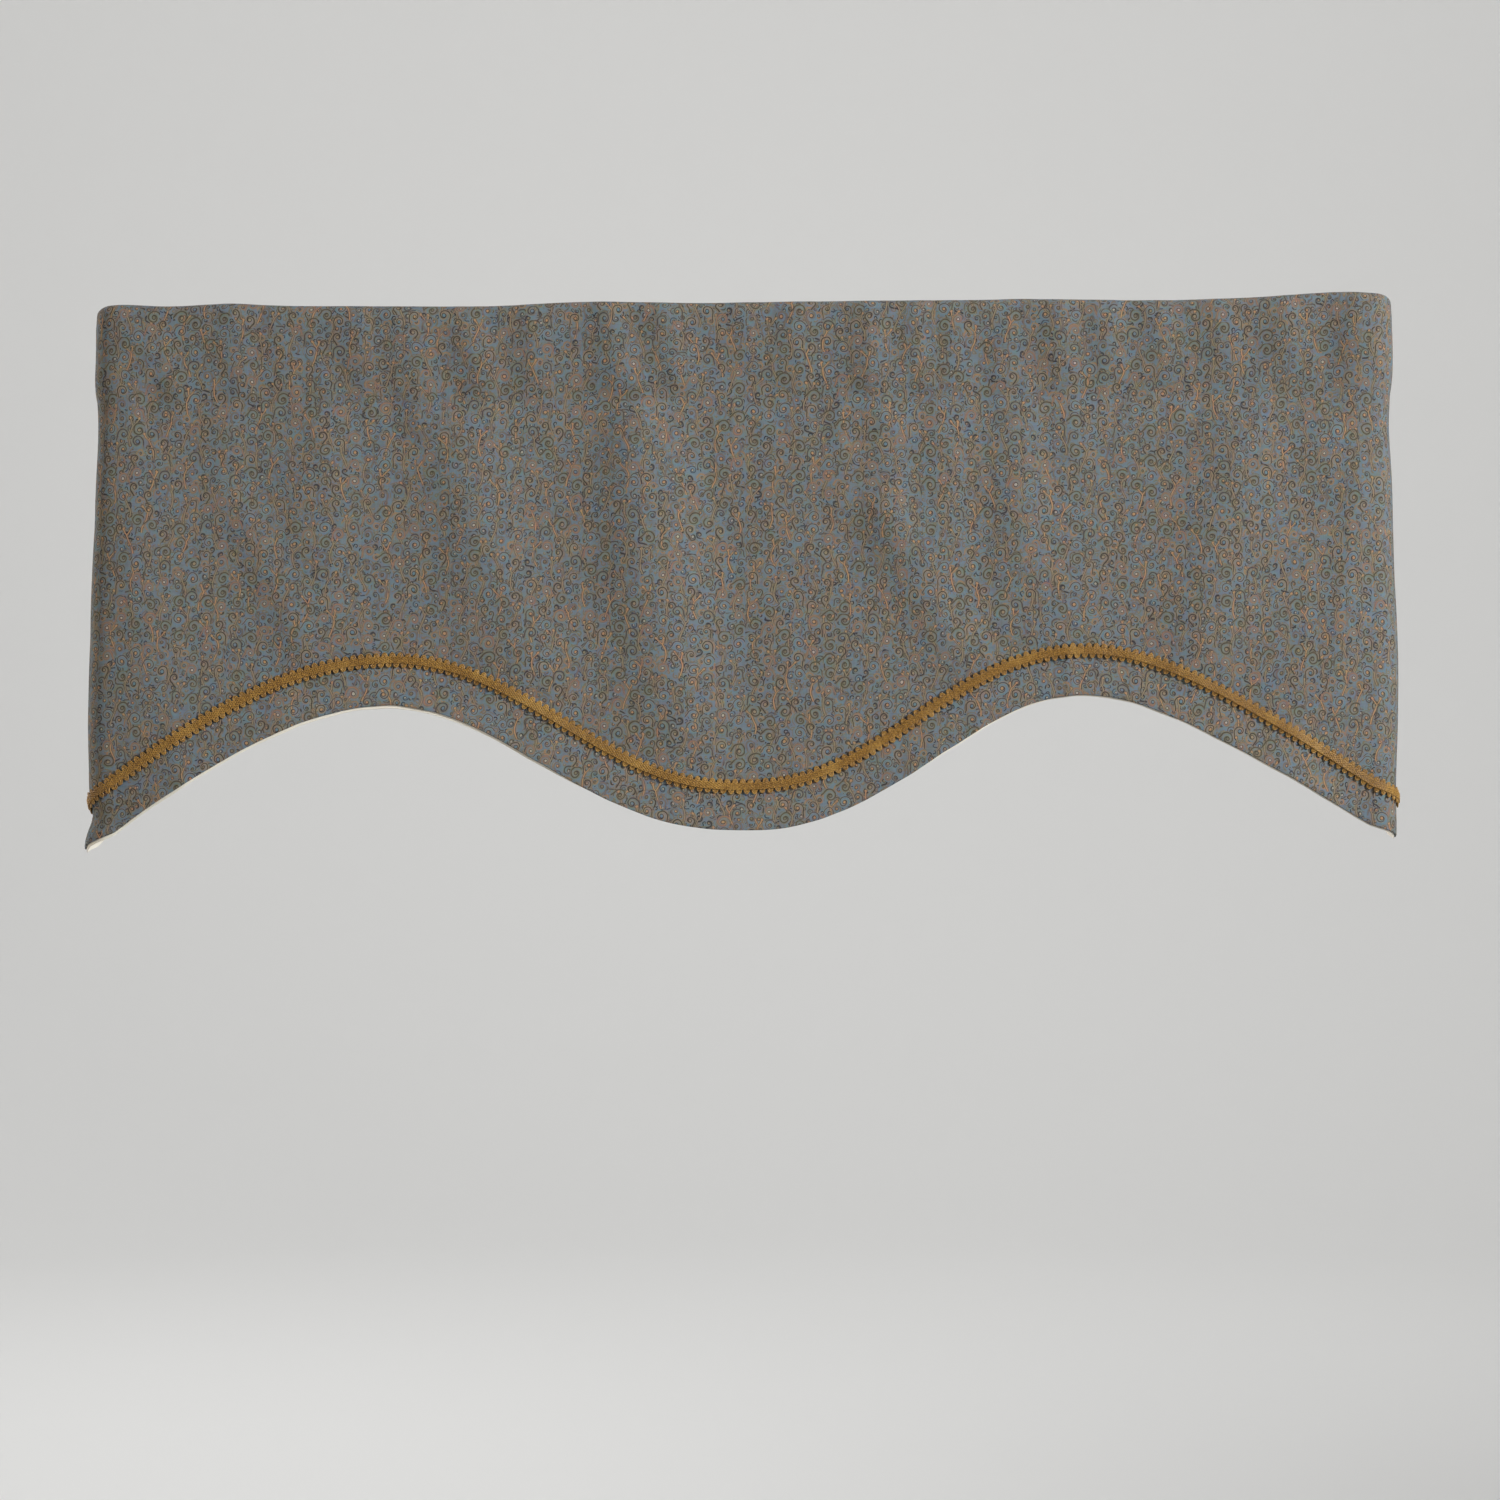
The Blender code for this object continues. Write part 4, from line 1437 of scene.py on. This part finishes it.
def yarnGroup():
    # a cord that meanders across its path in round loops, then shifts along its own side
    tree, given, made = makeGroup(
        "gimpYarn",
        [
            ("Path", shape, None),
            *floatInputs(
                Pitch=gimp["pitch"], Steps=gimp["cordSteps"], Across=0.0, Swing=0.0, Bulge=0.0,
                Beside=0.0, Lift=0.0, Bob=0.0, Phase=0.0, Unevenness=0.0, Thickness=gimp["cord"],
            ),
            ("Sides", "NodeSocketInt", gimp["sides"]),
        ],
        [("Yarn", shape)],
        "GeometryNodeTree",
    )
    step = calc(tree, "DIVIDE", given["Pitch"], given["Steps"])
    line = resampled(tree, given["Path"], step)
    tangent = tree.nodes.new("GeometryNodeInputTangent").outputs[0]
    outward = named(tree, "outward")
    across = vectorCalc(tree, "NORMALIZE", vectorCalc(tree, "CROSS_PRODUCT", tangent, outward))
    travelled = tree.nodes.new("GeometryNodeSplineParameter").outputs["Length"]
    beat = plus(tree, calc(tree, "DIVIDE", travelled, given["Pitch"]), given["Phase"])
    beat = times(tree, beat, 2 * math.pi)
    twice = times(tree, beat, 2.0)
    chance = noise(tree, combine(tree, travelled, 0.0), gimp["unevenScale"], 1.0)[0]
    chance = times(tree, minus(tree, chance, 0.5), given["Unevenness"])
    swing = times(tree, given["Swing"], plus(tree, chance, 1.0))
    sideways = calc(tree, "MULTIPLY_ADD", calc(tree, "COSINE", beat), swing, given["Across"])
    onward = times(tree, calc(tree, "SINE", twice), given["Bulge"])
    sunk = times(tree, calc(tree, "COSINE", twice), given["Bob"])
    raised = minus(tree, given["Lift"], sunk)
    offset = vectorCalc(tree, "SCALE", across, scale=sideways)
    offset = vectorCalc(tree, "ADD", offset, vectorCalc(tree, "SCALE", tangent, scale=onward))
    offset = vectorCalc(tree, "ADD", offset, vectorCalc(tree, "SCALE", outward, scale=raised))
    line = moved(tree, line, offset)
    # across is read again here, so it now stands square to the meander
    line = moved(tree, line, vectorCalc(tree, "SCALE", across, scale=given["Beside"]))
    profile = tree.nodes.new("GeometryNodeCurvePrimitiveCircle")
    feed(tree, given["Sides"], profile.inputs["Resolution"])
    feed(tree, times(tree, given["Thickness"], 0.5), profile.inputs["Radius"])
    tube = tree.nodes.new("GeometryNodeCurveToMesh")
    feed(tree, line, tube.inputs["Curve"])
    feed(tree, profile.outputs["Curve"], tube.inputs["Profile Curve"])
    tube.inputs["Fill Caps"].default_value = True
    feed(tree, tube.outputs[0], made["Yarn"])
    return tree


def endTree(tree, parts, material, made):
    # joins the parts and ends the tree in realized instances with their material
    join = tree.nodes.new("GeometryNodeJoinGeometry")
    for part in reversed(parts):
        tree.links.new(part, join.inputs[0])
    smooth = tree.nodes.new("GeometryNodeSetShadeSmooth")
    feed(tree, join.outputs[0], smooth.inputs["Geometry"])
    real = tree.nodes.new("GeometryNodeRealizeInstances")
    feed(tree, smooth.outputs[0], real.inputs["Geometry"])
    finish = tree.nodes.new("GeometryNodeSetMaterial")
    feed(tree, real.outputs[0], finish.inputs["Geometry"])
    feed(tree, material, finish.inputs["Material"])
    feed(tree, finish.outputs[0], made["Geometry"])


braidSizes = {
    "Pitch": gimp["pitch"],
    "Width": gimp["width"],
    "Cord": gimp["cord"],
    "Binding": gimp["binding"],
    "Binding_Gap": gimp["bindingGap"],
}


def braidTree():
    # two cords side by side loop across the braid, and six plaited ones bind their middle
    tree, given, made = makeGroup(
        "gimpBraid",
        [
            ("Geometry", shape, None),
            *floatInputs(**braidSizes),
            ("Material", "NodeSocketMaterial", None),
        ],
        [("Geometry", shape)],
        "GeometryNodeTree",
    )
    yarn = yarnGroup()
    cord = given["Cord"]
    swing = minus(tree, times(tree, given["Width"], 0.5), cord)
    bulge = times(tree, given["Pitch"], gimp["bulge"])
    halfPitch = times(tree, given["Pitch"], 0.5)
    parts = []
    for side in (-1.0, 1.0):
        loops = placeGroup(
            tree, yarn, Path=given["Geometry"], Pitch=given["Pitch"], Swing=swing, Bulge=bulge,
            Beside=times(tree, cord, gimp["cordApart"] * side), Bob=gimp["cordBob"],
            Unevenness=gimp["unevenness"], Thickness=cord,
        )
        parts.append(loops["Yarn"])
        for place in (0.5, 1.5, 2.5):
            binding = placeGroup(
                tree, yarn, Path=given["Geometry"], Pitch=halfPitch, Steps=gimp["bindingSteps"],
                Across=times(tree, given["Binding Gap"], place * side),
                Swing=times(tree, given["Binding"], gimp["bindingSwing"]),
                Lift=times(tree, cord, gimp["bindingLift"]), Bob=gimp["bindingBob"],
                Phase=0.5 * place * side, Thickness=given["Binding"],
            )
            parts.append(binding["Yarn"])
    endTree(tree, parts, given["Material"], made)
    return tree


stitchSizes = {
    "Pitch": stitching["pitch"],
    "Length": stitching["length"],
    "Thickness": stitching["thickness"],
    "Unevenness": stitching["unevenness"],
}


def stitchTree():
    # one short thread after another along the path, each turned a little
    tree, given, made = makeGroup(
        "pocketStitches",
        [
            ("Geometry", shape, None),
            *floatInputs(**stitchSizes),
            ("Seed", "NodeSocketInt", stitching["seed"]),
            ("Material", "NodeSocketMaterial", None),
        ],
        [("Geometry", shape)],
        "GeometryNodeTree",
    )
    stitch = tree.nodes.new("GeometryNodeMeshUVSphere")
    stitch.inputs["Segments"].default_value = stitching["segments"]
    stitch.inputs["Rings"].default_value = stitching["rings"]
    stitch.inputs["Radius"].default_value = 0.5
    alongTangent = tree.nodes.new("FunctionNodeAlignRotationToVector")
    alongTangent.axis = "X"
    feed(tree, tree.nodes.new("GeometryNodeInputTangent").outputs[0], alongTangent.inputs["Vector"])
    facing = tree.nodes.new("FunctionNodeAlignRotationToVector")
    facing.axis = "Z"
    facing.pivot_axis = "X"
    feed(tree, alongTangent.outputs[0], facing.inputs["Rotation"])
    feed(tree, named(tree, "outward"), facing.inputs["Vector"])
    chance = tree.nodes.new("FunctionNodeRandomValue")
    chance.data_type = "FLOAT"
    feed(tree, times(tree, given["Unevenness"], -1.0), chance.inputs[2])
    feed(tree, given["Unevenness"], chance.inputs[3])
    feed(tree, given["Seed"], chance.inputs["Seed"])
    turn = tree.nodes.new("FunctionNodeRotateRotation")
    turn.rotation_space = "LOCAL"
    feed(tree, facing.outputs[0], turn.inputs["Rotation"])
    feed(tree, combine(tree, 0.0, 0.0, chance.outputs[1]), turn.inputs[1])
    placed = tree.nodes.new("GeometryNodeInstanceOnPoints")
    feed(tree, resampled(tree, given["Geometry"], given["Pitch"]), placed.inputs["Points"])
    feed(tree, stitch.outputs["Mesh"], placed.inputs["Instance"])
    feed(tree, turn.outputs[0], placed.inputs["Rotation"])
    size = combine(tree, given["Length"], given["Thickness"], given["Thickness"])
    feed(tree, size, placed.inputs["Scale"])
    endTree(tree, [placed.outputs[0]], given["Material"], made)
    return tree


def grown(name, path, tree, **values):
    # runs a tree on a path and keeps the result as a plain mesh
    modifier = path.modifiers.new(name, "NODES")
    modifier.node_group = tree
    for item in tree.interface.items_tree:
        label = item.name.replace(" ", "_")
        if item.in_out == "INPUT" and label in values:
            modifier[item.identifier] = values[label]
    applied(path)
    path.name = name
    path.data.name = name
    outward = path.data.attributes.get("outward")
    if outward:
        path.data.attributes.remove(outward)
    return path


along = acrossCloth(gimp["endInset"])
braidPath = clothPath("gimp_braid_cover", along, braidDrop(along), gimp["lift"])
braid = grown("gimp_braid_cover", braidPath, braidTree(), Material=rayon, **braidSizes)
print("braid made", triangles(braid), "triangles")

along = acrossCloth(stitching["endInset"])
seamLine = np.full_like(along, hang["seamDrop"])
stitchPath = clothPath("pocket_stitches", along, seamLine, stitching["lift"])
stitches = grown(
    "pocket_stitches", stitchPath, stitchTree(), Seed=stitching["seed"],
    Material=clothThread, **stitchSizes,
)
print("stitches made", triangles(stitches), "triangles")

# Every piece rides on the one body
for piece, nodes, slotName in (
    (face, ("face_panel", "pocket_back"), "face_cloth"),
    (liningPiece, ("lining",), "lining_cloth"),
    (braid, ("gimp_braid",), "gold_braid"),
    (stitches, (), "face_cloth"),
):
    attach(piece, "root")
    if nodes:
        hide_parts(*nodes)

width, length, area = flatSizes(faceFlat)
width, length, area = flatSizes(liningFlat)

# Camera, square to the face at the height that the photograph shows
view = {
    "pixelsPerMetre": 1262.0,
    "imagePixels": 1500.0,
    "middleAcross": 743.0,
    "topEdgeDown": 302.3,
    "lens": 85.0,
    "sensor": 36.0,
    "clipEnd": 60.0,
}


def addCamera():
    data = bpy.data.cameras.new("camera")
    data.lens = view["lens"]
    data.sensor_width = view["sensor"]
    camera = bpy.data.objects.new("camera", data)
    wide = view["imagePixels"] / view["pixelsPerMetre"]
    middle = view["imagePixels"] / 2
    across = (middle - view["middleAcross"]) / view["pixelsPerMetre"]
    height = (view["topEdgeDown"] - middle) / view["pixelsPerMetre"]
    camera.location = (across, -wide * view["lens"] / view["sensor"], height)
    camera.rotation_euler = (math.pi / 2, 0.0, 0.0)
    data.clip_end = view["clipEnd"]
    bpy.context.scene.collection.objects.link(camera)
    bpy.context.scene.camera = camera


# A pale floor that curves up into a round wall, so that no edge shows from any side
room = {
    "floor": -1.30,
    "radius": 7.0,
    "bend": 3.0,
    "height": 5.0,
    "segments": 96,
    "bendSteps": 12,
    "colour": (0.80, 0.795, 0.78, 1.0),
    "surface": Surface(0.9, 0.0, 0.5, 0.1),
}


def addRoom():
    angle = np.linspace(0.0, math.pi / 2, room["bendSteps"] + 1)
    inner = room["radius"] - room["bend"]
    out = np.concatenate([[0.0], inner + room["bend"] * np.sin(angle), [room["radius"]]])
    up = np.concatenate([[0.0], room["bend"] * (1 - np.cos(angle)), [room["height"]]])
    mesh = bpy.data.meshes.new("floor")
    shell = bmesh.new()
    profile = [shell.verts.new((x, 0.0, room["floor"] + z)) for x, z in zip(out, up)]
    edges = [shell.edges.new(pair) for pair in zip(profile, profile[1:])]
    bmesh.ops.spin(
        shell, geom=profile + edges, cent=(0, 0, 0), axis=(0, 0, 1), angle=2 * math.pi,
        steps=room["segments"], use_duplicate=False,
    )
    bmesh.ops.remove_doubles(shell, verts=shell.verts, dist=0.0001)
    bmesh.ops.recalc_face_normals(shell, faces=shell.faces)
    shell.to_mesh(mesh)
    shell.free()
    mesh.shade_smooth()
    floor = bpy.data.objects.new("floor", mesh)
    bpy.context.scene.collection.objects.link(floor)
    material, tree, shader = newMaterial("paleFloor", room["surface"])
    shader.inputs["Base Color"].default_value = room["colour"]
    mesh.materials.append(material)


# Lamps: a key from the right that lights the cloth alone, a weak warm one from the left
# as off a wall, one for its back, and two wide ones for the room
Lamp = namedtuple("Lamp", "name place aim size watts spread colour")
lamps = [
    Lamp("keyLight", (4.15, -2.9, 1.75), (0.0, 0.0, -0.25), 1.4, 17.1, 36.0, (1.0, 1.0, 1.0)),
    Lamp("wallBounce", (-3.3, -0.7, -0.1), (-0.4, 0.0, -0.2), 1.6, 2.6, 40.0, (1.0, 0.86, 0.70)),
    Lamp("rearLight", (-4.2, 2.6, 1.7), (0.0, 0.0, -0.25), 1.4, 5.5, 36.0, (1.0, 1.0, 1.0)),
    Lamp("backdropLight", (0.0, 0.9, 2.6), (0.0, 7.0, 0.0), 2.6, 120.0, 150.0, (1.0, 1.0, 1.0)),
    Lamp("frontRoomLight", (0.0, -1.4, 2.6), (0.0, -7.0, 0.0), 2.6, 45.0, 150.0, (1.0, 1.0, 1.0)),
]
world = {
    "colour": (0.95, 0.97, 1.0, 1.0),
    "strength": 0.25,
}


def addLights():
    for row in lamps:
        data = bpy.data.lights.new(row.name, "AREA")
        data.shape = "DISK"
        data.size = row.size
        data.energy = row.watts
        data.spread = math.radians(row.spread)
        data.color = row.colour
        lamp = bpy.data.objects.new(row.name, data)
        bpy.context.scene.collection.objects.link(lamp)
        lamp.location = row.place
        away = Vector(row.place) - Vector(row.aim)
        lamp.rotation_euler = away.to_track_quat("Z", "Y").to_euler()
        lamp.visible_camera = False
    sky = bpy.data.worlds.new("softRoom")
    sky.use_nodes = True
    sky.node_tree.nodes["Background"].inputs["Color"].default_value = world["colour"]
    sky.node_tree.nodes["Background"].inputs["Strength"].default_value = world["strength"]
    bpy.context.scene.world = sky


addCamera()
addRoom()
addLights()
bpy.context.scene.view_settings.view_transform = "Standard"
print("camera, floor and lights made")
